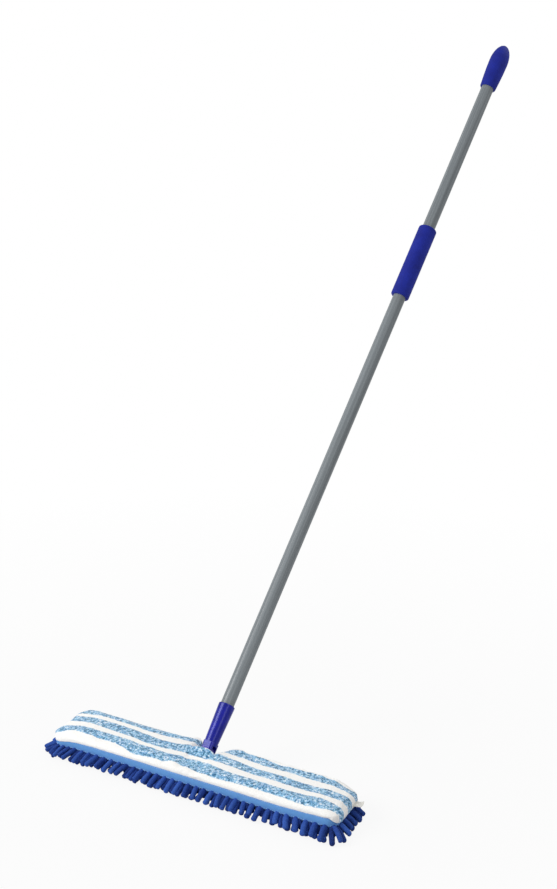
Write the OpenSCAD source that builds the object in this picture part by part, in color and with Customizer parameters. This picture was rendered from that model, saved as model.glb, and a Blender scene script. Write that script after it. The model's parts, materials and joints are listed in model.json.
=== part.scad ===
// Flip dust mop: a long pole on a two-way swivel, and a sleeve head that cleans on both faces.
// Millimetres. X runs along the head, Y to the rear, Z up from the floor that the pile stands on.
// The origin is the tip of the strand under the middle of the head's front half.

/* [Sleeve] */
// length of the terry sleeve
sleeve_l = 624; // [460:4:920]
// depth of the sleeve, front to rear
sleeve_w = 116; // [110:2:150]
// plan radius of the sleeve's corners
sleeve_corner_r = 26; // [21:1:34]
// thickness of the terry cloth
terry_t = 3; // [2:0.25:4]
// height of the rolled terry edge above the tape
roll_h = 13; // [11:0.5:18]
// how far the rolled edge reaches in before the face is flat
roll_in = 16; // [13:0.5:16.5]
// height of the tape round the side
tape_h = 15; // [14:0.5:20]
// thickness of the tape
tape_t = 2; // [1.5:0.25:3]
// how far the tape lies in from the widest line of the sleeve
tape_in = 1.5; // [0.5:0.25:2.5]
// thickness of the cloth above the pile
backing_t = 1.5; // [1:0.25:2]

/* [Notch] */
// radius at the bottom of the notch
notch_r = 15; // [14:0.5:18]
// half the flat at the bottom of the notch
notch_flat = 4; // [3:0.5:7]
// radius of the lips where the notch meets the rear edge
notch_lip_r = 18; // [18:1:24]
// distance of each lip's centre from the middle of the head
notch_lip_x = 52; // [50:1:80]
// how far the notch reaches past the middle of the head
notch_past = 6; // [5:0.5:9]

/* [Pile] */
// length of the underside pile below its backing
pile_h = 16.5; // [13:0.5:22]
// aim for the spacing of the underside strands
pile_pitch = 15.5; // [15:0.5:24]
// how far a strand's tip leans
pile_lean = 1.2; // [0:0.1:2]
// thickness of the layer that holds the strands
header_t = 2.5; // [2.25:0.25:4]
// width of the sewn header that holds the fringe
header_w = 7.5; // [6:0.5:8]
// aim for the spacing of the fringe strands
fringe_pitch = 11.6; // [11.2:0.2:18]
// how far the fringe reaches out past the sleeve
fringe_reach = 24; // [16:1:32]
// how far it reaches out at the sleeve's ends, where it hangs more
end_reach = 17; // [12:1:32]
// thickness of a fringe strand
fringe_d = 9; // [6:0.5:10]

/* [Frame] */
// gap in plan from the sleeve's edge to the frame
frame_in = 10; // [10:0.5:13]
// thickness of the frame, both halves together
frame_h = 14; // [12:0.5:15]
// floor of each half of the frame
frame_floor_t = 2; // [1.5:0.25:3]
// rim of each half of the frame
frame_wall_t = 2.4; // [1.6:0.2:4]
// thickness of the ribs
rib_t = 2; // [1.2:0.2:3]
// aim for the spacing of the cross ribs
rib_pitch = 44; // [36:2:70]
// diameter of the posts where the halves meet
post_d = 8; // [6:0.5:12]
// width of the windows in the frame's floors
window_w = 18; // [10:1:24]
// length of the bearing that holds each end of the hinge pin
bearing_l = 18; // [12:1:26]
// depth of that bearing, front to rear
bearing_w = 18; // [14:1:22]

/* [Swivel] */
// distance of the hinge pin behind the middle of the head
hinge_back = 6; // [5:0.5:8]
// diameter of the hinge pin and of the cross pin
pin_d = 7; // [5:0.25:8]
// diameter of the swivel's barrel
barrel_d = 18; // [14:0.5:20]
// length of the swivel's barrel
barrel_l = 30; // [26:1:32]
// thickness of the swivel's tongue
tongue_t = 12; // [8:0.5:12]
// width of the swivel's tongue
tongue_w = 20; // [16:0.5:22]
// height of the cross pin above the hinge pin
cross_rise = 27; // [25:0.5:32]
// diameter of the spacers on the hinge pin
spacer_d = 11; // [9:0.5:12]
// depth of a spacer's seat in its bearing
spacer_seat = 1; // [0.6:0.1:2]
// radial room of a pin that turns
running_fit = 0.05; // [0.02:0.01:0.1]
// room on each side of a piece that turns
side_gap = 0.4; // [0.3:0.05:0.8]

/* [Pole] */
// lean of the pole from upright
pole_lean = 43.5; // [25:0.5:65]
// outer diameter of the tube
tube_d = 25.4; // [22:0.2:26]
// wall of the tube
tube_wall = 1.2; // [0.8:0.1:2]
// length of the tube
tube_l = 1516; // [900:4:1800]
// diameter of the socket at its rim
socket_rim_d = 31; // [29.5:0.5:36]
// diameter of the socket at its neck
socket_neck_d = 25.6; // [25:0.2:29]
// height of the socket's rim above the hinge pin
socket_rim_z = 120; // [110:1:150]
// depth of the tube in the socket
tube_depth = 32; // [24:1:36]
// width of the socket's fork
fork_w = 22; // [20:0.5:24]
// diameter of the plug's nose below the tube
nose_d = 18; // [12:0.5:19]
// length of the plug's nose
nose_l = 26; // [16:1:30]
// length of the plug inside the tube
plug_l = 40; // [20:1:60]

/* [Grips] */
// diameter of the middle grip
mid_grip_d = 37; // [30:0.5:44]
// length of the middle grip
mid_grip_l = 160; // [90:2:240]
// height of the middle grip's centre above the hinge pin
mid_grip_z = 1084; // [700:4:1200]
// rounding at the middle grip's ends
mid_grip_r = 3.5; // [1:0.5:5]
// diameter of the end grip at its mouth
end_grip_mouth_d = 33; // [30:0.5:36]
// greatest diameter of the end grip
end_grip_d = 38.5; // [34:0.5:44]
// length of the end grip
end_grip_l = 106; // [80:1:140]
// solid end of the end grip past the tube
end_grip_cap = 12; // [6:0.5:20]
// wall of the end grip round the end of the tube
end_grip_wall = 1; // [0.8:0.1:2]

/* [Small pieces] */
// width of the pull tab
tab_w = 22; // [14:1:26]
// length of the pull tab past the sleeve
tab_l = 17; // [10:1:24]
// thickness of the pull tab
tab_t = 2.4; // [1.5:0.1:4]
// height of the closure strips at the rear edge
strip_h = 11; // [8:0.5:13]
// thickness of each closure strip
strip_t = 1.2; // [0.8:0.1:1.6]
// diameter of the caps on the cross pin
pin_cap_d = 13; // [10:0.5:16]
// height of the caps on the cross pin
pin_cap_h = 2.6; // [1.6:0.2:4]

/* [Hidden] */
$fn = 64;

// Clearances and the one overrun that every cut uses.
overrun = 1;
slip_fit = 0.05;
cloth_gap = 0.3;
hole_gap = 0.6;
frame_gap = 0.5;

// Colours of the materials.
royal_blue = [0.10, 0.15, 0.52];
pale_blue = [0.55, 0.57, 0.78];
pole_grey = [0.52, 0.54, 0.56];
steel_grey = [0.70, 0.71, 0.73];
terry_white = [0.93, 0.94, 0.95];
tape_blue = [0.38, 0.50, 0.70];
pile_blue = [0.16, 0.20, 0.36];
frame_grey = [0.30, 0.32, 0.36];
foam_white = [0.86, 0.86, 0.83];

// Heights of the layers.
tape_z = pile_h + header_t;
roll_z = tape_z + tape_h;
top_z = roll_z + roll_h;
hinge_z = tape_z + frame_gap + frame_h / 2;
pile_slice_z = tape_z - backing_t;

// Plan of the sleeve and its notch.
half_l = sleeve_l / 2;
half_w = sleeve_w / 2;
corner_x = half_l - sleeve_corner_r;
corner_y = half_w - sleeve_corner_r;
lip_y = half_w - notch_lip_r;
notch_y = notch_r - notch_past;
lip_run = notch_lip_x - notch_flat;
lip_rise = lip_y - notch_y;
flank_a = acos((notch_lip_r + notch_r) / norm([lip_run, lip_rise])) - atan2(lip_rise, lip_run);
corner_steps = 6;
notch_steps = 5;

// Sections of the rolled edge: the angles of its outer rings, from below its widest line to the flat face.
roll_angles = [-50, -20, 10, 35, 60, 90];
roll_mid_share = 0.35;
inner_rise_share = 0.55;
inner_in_share = 0.5;

// Pile: inset of its backing, the spread of a strand's foot and tip in its cell, and the turn of the lean.
pile_in = tape_in + header_w + cloth_gap;
pile_foot_share = 0.66;
pile_tip_share = 0.46;
lean_turn = 137.5;
front_rows = 2;
front_pile_w = half_w - notch_past - 2 * pile_in;
head_y = half_w - pile_in - front_pile_w * (front_rows - 1 / 2) / front_rows;

// Fringe: where its strands bend, and how their sections shrink.
foot_share = 0.8;
knee_out_share = 0.38;
knee_rise_share = 0.62;
fringe_width_share = 0.84;
tip_share = 0.82;
corner_strands = 4;

// Frame and bearings.
bearing_x = flank_x(hinge_back + spacer_d / 2 + hole_gap, frame_in);
seat_x = bearing_x + spacer_seat;
pin_half_l = bearing_x + bearing_l - frame_wall_t;
long_rib_share = 0.5;

// Socket, plug and pole along the pole's own axis, from the hinge pin.
fork_leg_t = (socket_neck_d - tongue_t) / 2 - side_gap;
fork_span = tongue_t + 2 * (side_gap + fork_leg_t);
tongue_clear = 1.5;
fork_top_z = cross_rise + tongue_w / 2 + fork_leg_t + tongue_clear;
fork_round_share = 0.86;
fork_round_d = norm([fork_w, fork_span]) * fork_round_share;
rim_r = 1.5;
// Turn from the cap's face at which its dome starts.
cap_edge_a = 30;
tube_z = socket_rim_z - tube_depth;
tube_end_z = tube_z + tube_l;
grip_z = tube_end_z + end_grip_cap - end_grip_l;
grip_bore_d = tube_d + 2 * slip_fit;
grip_dome_l = end_grip_cap / (1 - sqrt(1 - pow((grip_bore_d + 2 * end_grip_wall) / end_grip_d, 2)));
mouth_r = 2.5;
grip_swell_l = end_grip_l - mouth_r - grip_dome_l;
grip_steps = 10;

// A list of points along an arc.
function arc(c, r, a0, a1, n) =
  [for (i = [0 : n]) let (a = a0 + (a1 - a0) * i / n) [c.x + r * cos(a), c.y + r * sin(a)]];

// The same points on the other side of the middle, in the opposite order.
function across(pts) = [for (i = [len(pts) - 1 : -1 : 0]) [-pts[i].x, pts[i].y]];

// A point part of the way from one to another.
function between(a, b, share) = a + (b - a) * share;

// The right half of the rear edge, inset by d: the corner, the lip and half of the notch.
function rear_half(d) = concat(
  arc([corner_x, corner_y], sleeve_corner_r - d, 0, 90, corner_steps),
  arc([notch_lip_x, lip_y], notch_lip_r - d, 90, 180 - flank_a, notch_steps),
  arc([notch_flat, notch_y], notch_r + d, -flank_a, -90, notch_steps));

// The rear edge runs from right to left, and the front edge back, with a point under each rear one.
function rear_edge(d) = concat(rear_half(d), across(rear_half(d)));
function front_edge(d) = let (rear = rear_edge(d))
  [for (i = [len(rear) - 1 : -1 : 0]) [rear[i].x, abs(rear[i].x) > corner_x ? -rear[i].y : d - half_w]];
function outline(d) = concat(front_edge(d), rear_edge(d));

// Where the notch's straight flank, inset by d, crosses the line at y.
function flank_x(y, d) = notch_flat + (notch_r + d) * cos(flank_a)
  + (y - notch_y + (notch_r + d) * sin(flank_a)) * tan(flank_a);

// Two triangles for the four corners of a face.
function quad(a, b, c, d) = [[a, b, c], [a, c, d]];

// A skin through the sleeve's outline at each [inset, height], closed by strips at both ends.
function loft_points(rings) = [for (r = rings) for (p = outline(r[0])) [p.x, p.y, r[1]]];
function loft_faces(rings, n, m) = concat(
  [for (k = [0 : m - 2], i = [0 : n - 1])
    each quad(k * n + i, (k + 1) * n + i, (k + 1) * n + (i + 1) % n, k * n + (i + 1) % n)],
  [for (i = [0 : n / 2 - 2]) each quad(i, i + 1, n - 2 - i, n - 1 - i)],
  [for (i = [0 : n / 2 - 2]) let (t = (m - 1) * n) each quad(t + n - 1 - i, t + n - 2 - i, t + i + 1, t + i)]);

// Inset and height of a ring of the rolled edge, at an angle round its section.
function roll_ring(a) = let (mid = roll_h * roll_mid_share, low = -roll_angles[0])
  a < 0
    ? [tape_in * (1 - cos(a)) / (1 - cos(low)), roll_z + mid + mid * sin(a) / sin(low)]
    : [roll_in * (1 - cos(a)), roll_z + mid + (roll_h - mid) * sin(a)];

// The pile's reach to front and rear at x, inside the rounded corners.
function pile_reach(x) = abs(x) <= corner_x
  ? half_w - pile_in
  : corner_y + sqrt(max(0, pow(sleeve_corner_r - pile_in, 2) - pow(abs(x) - corner_x, 2)));

// A grid of cells from x0 to x1 over the depth of the sleeve, and one of equal cells in a box.
function side_grid(x0, x1, cols, rows) = [for (j = [0 : rows], i = [0 : cols])
  let (x = x0 + (x1 - x0) * i / cols) [x, pile_reach(x) * (2 * j / rows - 1)]];
function box_grid(x0, x1, y0, y1, cols, rows) = [for (j = [0 : rows], i = [0 : cols])
  [x0 + (x1 - x0) * i / cols, y0 + (y1 - y0) * j / rows]];

// Strand k's foot or tip: its cell drawn in to a share, and moved.
function in_cell(cell, share, move, z) = let (c = (cell[0] + cell[1] + cell[2] + cell[3]) / 4)
  [for (p = cell) let (q = between(c, p, share) + move) [q.x, q.y, z]];

// Stations of a fringe: place on the sleeve's edge and outward angle. Every second one carries a strand.
function run(p0, p1, a, n) = [for (i = [0 : 2 * n]) [between(p0, p1, i / (2 * n)), a]];
function bend(c, a0, a1, n) = [for (i = [0 : 2 * n]) let (a = a0 + (a1 - a0) * i / (2 * n))
  [c + sleeve_corner_r * [cos(a), sin(a)], a]];
function without_first(list) = [for (i = [1 : len(list) - 1]) list[i]];
function strands_on(length) = max(1, round(length / fringe_pitch));

// The right-hand end of the head: a corner, the straight end and the other corner.
function end_stations() = concat(
  bend([corner_x, -corner_y], -90, 0, corner_strands),
  without_first(run([half_l, -corner_y], [half_l, corner_y], 0, strands_on(2 * corner_y))),
  without_first(bend([corner_x, corner_y], 0, 90, corner_strands)));

// A point at a station, out from the sleeve's edge and along it, at a height.
function at_station(s, out, along, z) =
  [s[0].x + out * cos(s[1]) - along * sin(s[1]), s[0].y + out * sin(s[1]) + along * cos(s[1]), z];

// The header's section at a station: outer bottom, outer top, inner top, inner bottom.
function header_ring(s) = let (out = -tape_in, in = -tape_in - header_w)
  [at_station(s, out, 0, pile_h), at_station(s, out, 0, tape_z),
   at_station(s, in, 0, tape_z), at_station(s, in, 0, pile_h)];

// A fringe strand: its foot in the header's underside, its knee and its tip, of four points each.
function strand_section(s, out, z, slope, w, d) =
  [for (q = [[-1, 1], [1, 1], [1, -1], [-1, -1]])
    at_station(s, out + q[1] * d / 2 * sin(slope), q[0] * w / 2, z + q[1] * d / 2 * cos(slope))];
function strand_points(s, cell) = let (
    foot_out = -tape_in - header_w / 2,
    reach = between(fringe_reach, end_reach, abs(cos(s[1]))),
    knee_out = reach * knee_out_share,
    knee_z = pile_h * knee_rise_share,
    tip_d = fringe_d * tip_share,
    tip_z = tip_d / 2 + cloth_gap,
    slope = atan2(pile_h - tip_z, reach - foot_out),
    w = fringe_pitch * fringe_width_share)
  concat(in_cell(cell, foot_share, [0, 0], pile_h),
    strand_section(s, knee_out, knee_z, slope, w, fringe_d),
    strand_section(s, reach, tip_z, slope, w * tip_share, tip_d));

// Placing: on the head, or along the pole from the hinge pin.
module on_head() translate([0, head_y, 0]) children();
module on_hinge() translate([0, head_y + hinge_back, hinge_z]) children();
module on_pole() on_hinge() rotate([-pole_lean, 0, 0]) children();

// A cylinder along X or along Y, about the origin.
module along_x(d, h) rotate([0, 90, 0]) cylinder(d = d, h = h, center = true);
module along_y(d, h) rotate([90, 0, 0]) cylinder(d = d, h = h, center = true);

// A wall that follows the sleeve's outline between two insets.
module edge_band(d0, d1, z0, z1)
  translate([0, 0, z0]) linear_extrude(z1 - z0) difference() {
    polygon(outline(d0));
    polygon(outline(d1));
  }

// The grip at the top of the pole: it swells from its mouth and closes in a dome over the end of the tube.
module end_grip()
  color(royal_blue) on_pole() translate([0, 0, grip_z]) difference() {
    rotate_extrude() polygon(concat([[0, 0]],
      arc([end_grip_mouth_d / 2 - mouth_r, mouth_r], mouth_r, -90, 0, corner_steps),
      [for (i = [1 : grip_steps]) let (share = i / grip_steps)
        [between(end_grip_mouth_d, end_grip_d, sin(90 * share)) / 2, mouth_r + share * grip_swell_l]],
      [for (i = [1 : grip_steps]) let (a = 90 * i / grip_steps)
        [end_grip_d / 2 * cos(a), end_grip_l + grip_dome_l * (sin(a) - 1)]]));
    translate([0, 0, -overrun]) cylinder(d = grip_bore_d, h = end_grip_l - end_grip_cap + overrun);
  }

// The pole: one plain tube.
module pole_tube()
  color(pole_grey) on_pole() translate([0, 0, tube_z]) difference() {
    cylinder(d = tube_d, h = tube_l);
    translate([0, 0, -overrun]) cylinder(d = tube_d - 2 * tube_wall, h = tube_l + 2 * overrun);
  }

// The foam grip part of the way up the pole, with rounded ends.
module mid_grip()
  color(royal_blue) on_pole() translate([0, 0, mid_grip_z - mid_grip_l / 2]) rotate_extrude()
    polygon(concat(
      [[tube_d / 2 + slip_fit, 0]],
      arc([mid_grip_d / 2 - mid_grip_r, mid_grip_r], mid_grip_r, -90, 0, corner_steps),
      arc([mid_grip_d / 2 - mid_grip_r, mid_grip_l - mid_grip_r], mid_grip_r, 0, 90, corner_steps),
      [[tube_d / 2 + slip_fit, mid_grip_l]]));

// The plug pressed into the tube's lower end, with a nose that centres it in the socket.
module pole_plug()
  color(royal_blue) on_pole() union() {
    translate([0, 0, tube_z - nose_l]) cylinder(d = nose_d, h = nose_l + overrun);
    translate([0, 0, tube_z]) cylinder(d = tube_d - 2 * tube_wall - 2 * slip_fit, h = plug_l);
  }

// The fork's outline: straight sides over a round foot about the cross pin.
module fork_outline()
  polygon(concat(
    arc([0, cross_rise], fork_w / 2, 180, 360, 4 * corner_steps),
    [[fork_w / 2, fork_top_z], [-fork_w / 2, fork_top_z]]));

// The tapered socket, with a fork below that straddles the swivel's tongue.
module handle_socket()
  color(royal_blue) on_pole() difference() {
    union() {
      rotate_extrude() polygon(concat(
        [[0, fork_top_z - fork_leg_t], [socket_neck_d / 2, fork_top_z - fork_leg_t]],
        arc([socket_rim_d / 2 - rim_r, socket_rim_z - rim_r], rim_r, 0, 90, corner_steps),
        [[0, socket_rim_z]]));
      intersection() {
        rotate([90, 0, 0]) linear_extrude(fork_span, center = true) fork_outline();
        cylinder(d = fork_round_d, h = fork_top_z);
      }
    }
    translate([-fork_w, -tongue_t / 2 - side_gap, -overrun])
      cube([2 * fork_w, tongue_t + 2 * side_gap, cross_rise + tongue_w / 2 + tongue_clear + overrun]);
    translate([0, 0, cross_rise]) along_y(pin_d + 2 * slip_fit, fork_span + 2 * overrun);
    translate([0, 0, tube_z]) cylinder(d = tube_d + 2 * slip_fit, h = tube_depth + overrun);
    translate([0, 0, tube_z - nose_l - overrun])
      cylinder(d = nose_d + 2 * slip_fit, h = nose_l + 2 * overrun);
  }

// The pin through the fork and the tongue.
module cross_pin()
  color(steel_grey) on_pole() translate([0, 0, cross_rise]) along_y(pin_d, fork_span);

// Domed caps over the cross pin's ends, seated on the fork.
module cross_pin_caps()
  color(pale_blue) on_pole() translate([0, 0, cross_rise]) for (side = [0, 180]) rotate([0, 0, side])
    translate([0, -fork_span / 2, 0]) rotate([90, 0, 0]) rotate_extrude() polygon(concat(
      [[0, 0], [pin_cap_d / 2, 0]],
      [for (p = arc([0, 0], 1, cap_edge_a, 90, corner_steps)) [p.x * pin_cap_d / 2, p.y * pin_cap_h]]));

// The swivel: a barrel on the hinge pin and a tongue up into the fork.
module swivel_block()
  color(pale_blue) on_pole() difference() {
    union() {
      along_x(barrel_d, barrel_l);
      rotate([90, 0, 0]) linear_extrude(tongue_t, center = true) polygon(concat(
        arc([0, cross_rise], tongue_w / 2, 0, 180, 4 * corner_steps),
        [[-tongue_w / 2, 0], [tongue_w / 2, 0]]));
    }
    along_x(pin_d + 2 * running_fit, barrel_l + 2 * overrun);
    translate([0, 0, cross_rise]) along_y(pin_d + 2 * running_fit, tongue_t + 2 * overrun);
  }

// The pin along the head that the swivel flips about.
module hinge_pin()
  color(steel_grey) on_hinge() along_x(pin_d, 2 * pin_half_l);

// Spacers that keep the swivel in the middle of the notch.
module pin_spacers()
  color(frame_grey) on_hinge() for (side = [-1, 1])
    translate([side * (barrel_l / 2 + side_gap + seat_x) / 2, 0, 0]) difference() {
      along_x(spacer_d, seat_x - barrel_l / 2 - side_gap);
      along_x(pin_d + 2 * slip_fit, seat_x);
    }

// Places of the cross ribs on the right-hand half of the frame, past the notch.
function rib_xs() = let (
    x0 = notch_lip_x + frame_in,
    x1 = half_l - frame_in - frame_wall_t,
    bays = max(2, round((x1 - x0) / rib_pitch)))
  [for (i = [0 : bays]) x0 + (x1 - x0) * i / bays];

// A window between four posts: a slot along X with round ends.
module window_slot(x0, x1, y0, y1) {
  room = [x1 - x0 - rib_t - post_d, y1 - y0 - rib_t - post_d / 2];
  w = min(window_w, room.x, room.y);
  l = room.x - w;
  translate([(x0 + x1) / 2, (y0 + y1) / 2]) {
    if (l > 0) square([l, w], center = true);
    for (side = [-1, 1]) translate([side * l / 2, 0]) circle(d = w);
  }
}

// The lower half of the frame, below the plane through the hinge pin; the upper one mirrors it.
module frame_half() {
  xs = rib_xs();
  long_y = (half_w - frame_in) * long_rib_share;
  difference() {
    union() {
      translate([0, 0, -frame_h / 2]) linear_extrude(frame_floor_t) difference() {
        polygon(outline(frame_in));
        for (side = [-1, 1], i = [0 : len(xs) - 2], y = [-long_y, 0]) mirror([side < 0 ? 1 : 0, 0, 0])
          window_slot(xs[i], xs[i + 1], y, y + long_y);
      }
      edge_band(frame_in, frame_in + frame_wall_t, -frame_h / 2, 0);
      translate([0, 0, -frame_h / 2]) linear_extrude(frame_h / 2) intersection() {
        polygon(outline(frame_in + frame_wall_t / 2));
        union() {
          for (side = [-1, 1], x = xs) translate([side * x, 0]) square([rib_t, sleeve_w], center = true);
          for (side = [-1, 1]) translate([0, side * long_y]) square([sleeve_l, rib_t], center = true);
          for (side = [-1, 1])
            translate([side * (bearing_x + bearing_l / 2), hinge_back])
              square([bearing_l, bearing_w], center = true);
        }
      }
      for (side = [-1, 1], i = [0 : len(xs) - 2], y = [-long_y, long_y])
        translate([side * xs[i], y, -frame_h / 2]) cylinder(d = post_d, h = frame_h / 2);
    }
    translate([0, hinge_back, 0]) along_x(pin_d + 2 * slip_fit, 2 * (pin_half_l + slip_fit));
    translate([0, hinge_back, 0]) along_x(spacer_d + 2 * hole_gap, 2 * seat_x);
  }
}

// The two moulded halves that hold the sleeve flat and the hinge pin between them.
module frame_upper() color(frame_grey) on_head() translate([0, 0, hinge_z]) mirror([0, 0, 1]) frame_half();
module frame_lower() color(frame_grey) on_head() translate([0, 0, hinge_z]) frame_half();

// Foam between the frame and the terry face.
module top_wadding() {
  rings = [
    [frame_in, hinge_z + frame_h / 2 + cloth_gap],
    [frame_in, roll_z + roll_h * roll_mid_share],
    [roll_in + overrun, top_z - terry_t - cloth_gap]];
  color(foam_white) on_head() polyhedron(loft_points(rings), loft_faces(rings, len(outline(0)), len(rings)));
}

// The terry face with its rolled edge: a shell that is open below, over the tape.
module terry_face() {
  skirt_in = tape_in + terry_t;
  rings = concat(
    [[roll_in, top_z - terry_t],
     [between(skirt_in, roll_in, inner_in_share / 2), roll_z + roll_h * inner_rise_share],
     [skirt_in, roll_z]],
    [for (a = roll_angles) roll_ring(a)]);
  color(terry_white) on_head() polyhedron(loft_points(rings), loft_faces(rings, len(outline(0)), len(rings)));
}

// The tape round the side, open where the hinge pin's spacers come through in the notch.
module edge_tape()
  color(tape_blue) difference() {
    on_head() edge_band(tape_in, tape_in + tape_t, tape_z, roll_z);
    on_hinge() along_x(spacer_d + 2 * hole_gap, 2 * seat_x);
  }

// The cloth over the pile.
module backing_cloth()
  color(terry_white) on_head() translate([0, 0, pile_slice_z]) linear_extrude(backing_t)
    polygon(outline(pile_in));

// A block of pile: a slice of backing with one four-sided strand under each cell of a grid.
module pile_block(grid, cols, rows) {
  corners = (cols + 1) * (rows + 1);
  cells = [for (j = [0 : rows - 1], i = [0 : cols - 1]) j * (cols + 1) + i];
  function cell_ids(c) = [c, c + 1, c + cols + 2, c + cols + 1];
  function side_quad(a, b) = quad(corners + a, a, b, corners + b);
  points = concat(
    [for (p = grid) [p.x, p.y, pile_slice_z]],
    [for (p = grid) [p.x, p.y, pile_h]],
    [for (k = [0 : len(cells) - 1])
      let (cell = [for (id = cell_ids(cells[k])) grid[id]], a = k * lean_turn)
      each concat(in_cell(cell, pile_foot_share, [0, 0], pile_h),
        in_cell(cell, pile_tip_share, pile_lean * [cos(a), sin(a)], 0))]);
  faces = concat(
    [for (c = cells) let (q = cell_ids(c)) each quad(q[0], q[3], q[2], q[1])],
    [for (i = [0 : cols - 1]) each side_quad(i, i + 1)],
    [for (i = [0 : cols - 1]) let (r = rows * (cols + 1)) each side_quad(r + i + 1, r + i)],
    [for (j = [0 : rows - 1]) each side_quad(j * (cols + 1) + cols, (j + 1) * (cols + 1) + cols)],
    [for (j = [0 : rows - 1]) each side_quad((j + 1) * (cols + 1), j * (cols + 1))],
    [for (k = [0 : len(cells) - 1])
      let (q = cell_ids(cells[k]), foot = 2 * corners + 8 * k, tip = foot + 4)
      each concat(
        [for (e = [0 : 3]) let (f = (e + 1) % 4) each quad(corners + q[e], corners + q[f], foot + f, foot + e)],
        [for (e = [0 : 3]) let (f = (e + 1) % 4) each quad(tip + e, foot + e, foot + f, tip + f)],
        quad(tip, tip + 1, tip + 2, tip + 3))]);
  color(pile_blue) on_head() polyhedron(points, faces);
}

// One end's pile, from the notch's lip to the end of the sleeve.
module side_pile(x0, x1) {
  cols = round(abs(x1 - x0) / pile_pitch);
  rows = round(2 * (half_w - pile_in) / pile_pitch);
  pile_block(side_grid(x0, x1, cols, rows), cols, rows);
}

// The pile under each end of the head and in front of the notch. The front has an odd row, centred on X.
module under_pile_left() side_pile(pile_in - half_l, -notch_lip_x);
module under_pile_right() side_pile(notch_lip_x, half_l - pile_in);
module under_pile_front() {
  x = notch_lip_x - cloth_gap;
  y = pile_in - half_w;
  cols = 2 * round(x / pile_pitch - 1 / 2) + 1;
  pile_block(box_grid(-x, x, y, y + front_pile_w, cols, front_rows), cols, front_rows);
}

// A fringe: a sewn header along the stations, with a bent four-sided strand under each cell.
module fringe(stations) {
  n = (len(stations) - 1) / 2;
  rings = [for (k = [0 : n]) header_ring(stations[2 * k])];
  points = concat(
    [for (r = rings) each r],
    [for (k = [0 : n - 1])
      let (cell = [for (p = [rings[k][0], rings[k + 1][0], rings[k + 1][3], rings[k][3]]) [p.x, p.y]])
      each strand_points(stations[2 * k + 1], cell)]);
  first = 4 * (n + 1);
  faces = concat(
    quad(3, 2, 1, 0),
    quad(4 * n, 4 * n + 1, 4 * n + 2, 4 * n + 3),
    [for (k = [0 : n - 1])
      let (a = 4 * k, b = a + 4, foot = first + 12 * k, cell = [a, b, b + 3, a + 3])
      each concat(
        [for (e = [0 : 2]) each quad(a + e, a + e + 1, b + e + 1, b + e)],
        [for (e = [0 : 3]) let (f = (e + 1) % 4) each quad(cell[e], cell[f], foot + f, foot + e)],
        [for (ring = [0, 4], e = [0 : 3]) let (f = (e + 1) % 4, up = foot + ring, low = up + 4)
          each quad(low + e, up + e, up + f, low + f)],
        quad(foot + 8, foot + 9, foot + 10, foot + 11))]);
  color(pile_blue) on_head() polyhedron(points, faces);
}

// The fringe along the front, round both ends, and along the rear on each side of the notch.
module front_fringe()
  fringe(run([-corner_x, -half_w], [corner_x, -half_w], -90, strands_on(2 * corner_x)));
module right_fringe() fringe(end_stations());
module left_fringe() rotate_about_head() fringe(end_stations());
module rear_fringe_right()
  fringe(run([corner_x, half_w], [notch_lip_x, half_w], 90, strands_on(corner_x - notch_lip_x)));
module rear_fringe_left()
  fringe(run([-notch_lip_x, half_w], [-corner_x, half_w], 90, strands_on(corner_x - notch_lip_x)));

// Half a turn about the middle of the head, which brings the right-hand end to the left.
module rotate_about_head()
  translate([0, head_y, 0]) rotate([0, 0, 180]) translate([0, -head_y, 0]) children();

// A bare cloth tab sewn to the tape at the right-hand end.
module pull_tab()
  color(terry_white) on_head() translate([half_l - tape_in, corner_y - tab_w / 2, hinge_z - tab_t / 2])
    linear_extrude(tab_t) {
      translate([0, -tab_w / 2]) square([tape_in + tab_l - tab_w / 4, tab_w]);
      for (side = [-1, 1]) translate([tape_in + tab_l - tab_w / 4, side * tab_w / 4]) circle(d = tab_w / 2);
      translate([tape_in + tab_l - tab_w / 4, -tab_w / 4]) square([tab_w / 4, tab_w / 2]);
    }

// A pair of straight strips inside the rear tape, on each side of the notch, set in by d.
module rear_strips(d)
  for (side = [-1, 1]) translate([0, half_w - d - strip_t, hinge_z - strip_h / 2])
    mirror([side < 0 ? 1 : 0, 0, 0]) translate([notch_lip_x, 0, 0])
      cube([corner_x - notch_lip_x, strip_t, strip_h]);

// The hook and loop strips that close the sleeve over the frame.
module closure_hook() color(frame_grey) on_head() rear_strips(tape_in + tape_t);
module closure_loop() color(foam_white) on_head() rear_strips(tape_in + tape_t + strip_t);

end_grip();
pole_tube();
mid_grip();
pole_plug();
handle_socket();
cross_pin();
cross_pin_caps();
swivel_block();
hinge_pin();
pin_spacers();
frame_upper();
frame_lower();
top_wadding();
terry_face();
edge_tape();
backing_cloth();
under_pile_left();
under_pile_right();
under_pile_front();
front_fringe();
left_fringe();
right_fringe();
rear_fringe_left();
rear_fringe_right();
pull_tab();
closure_hook();
closure_loop();
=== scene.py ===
"""Scene of a flip dust mop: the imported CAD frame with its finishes, and the soft head modelled over it.

Sizes are in millimetres in the classes and become metres when a mesh is made. X runs along the head, Y to the
rear where the pole leans, and Z up from the floor.
"""

import json
import logging
import math
from dataclasses import dataclass, field
from enum import Enum
from typing import Any, ClassVar, Sequence

import bpy
import numpy as np
from mathutils import Matrix, Vector, noise
from mathutils.geometry import delaunay_2d_cdt
from mathutils.kdtree import KDTree

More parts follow.
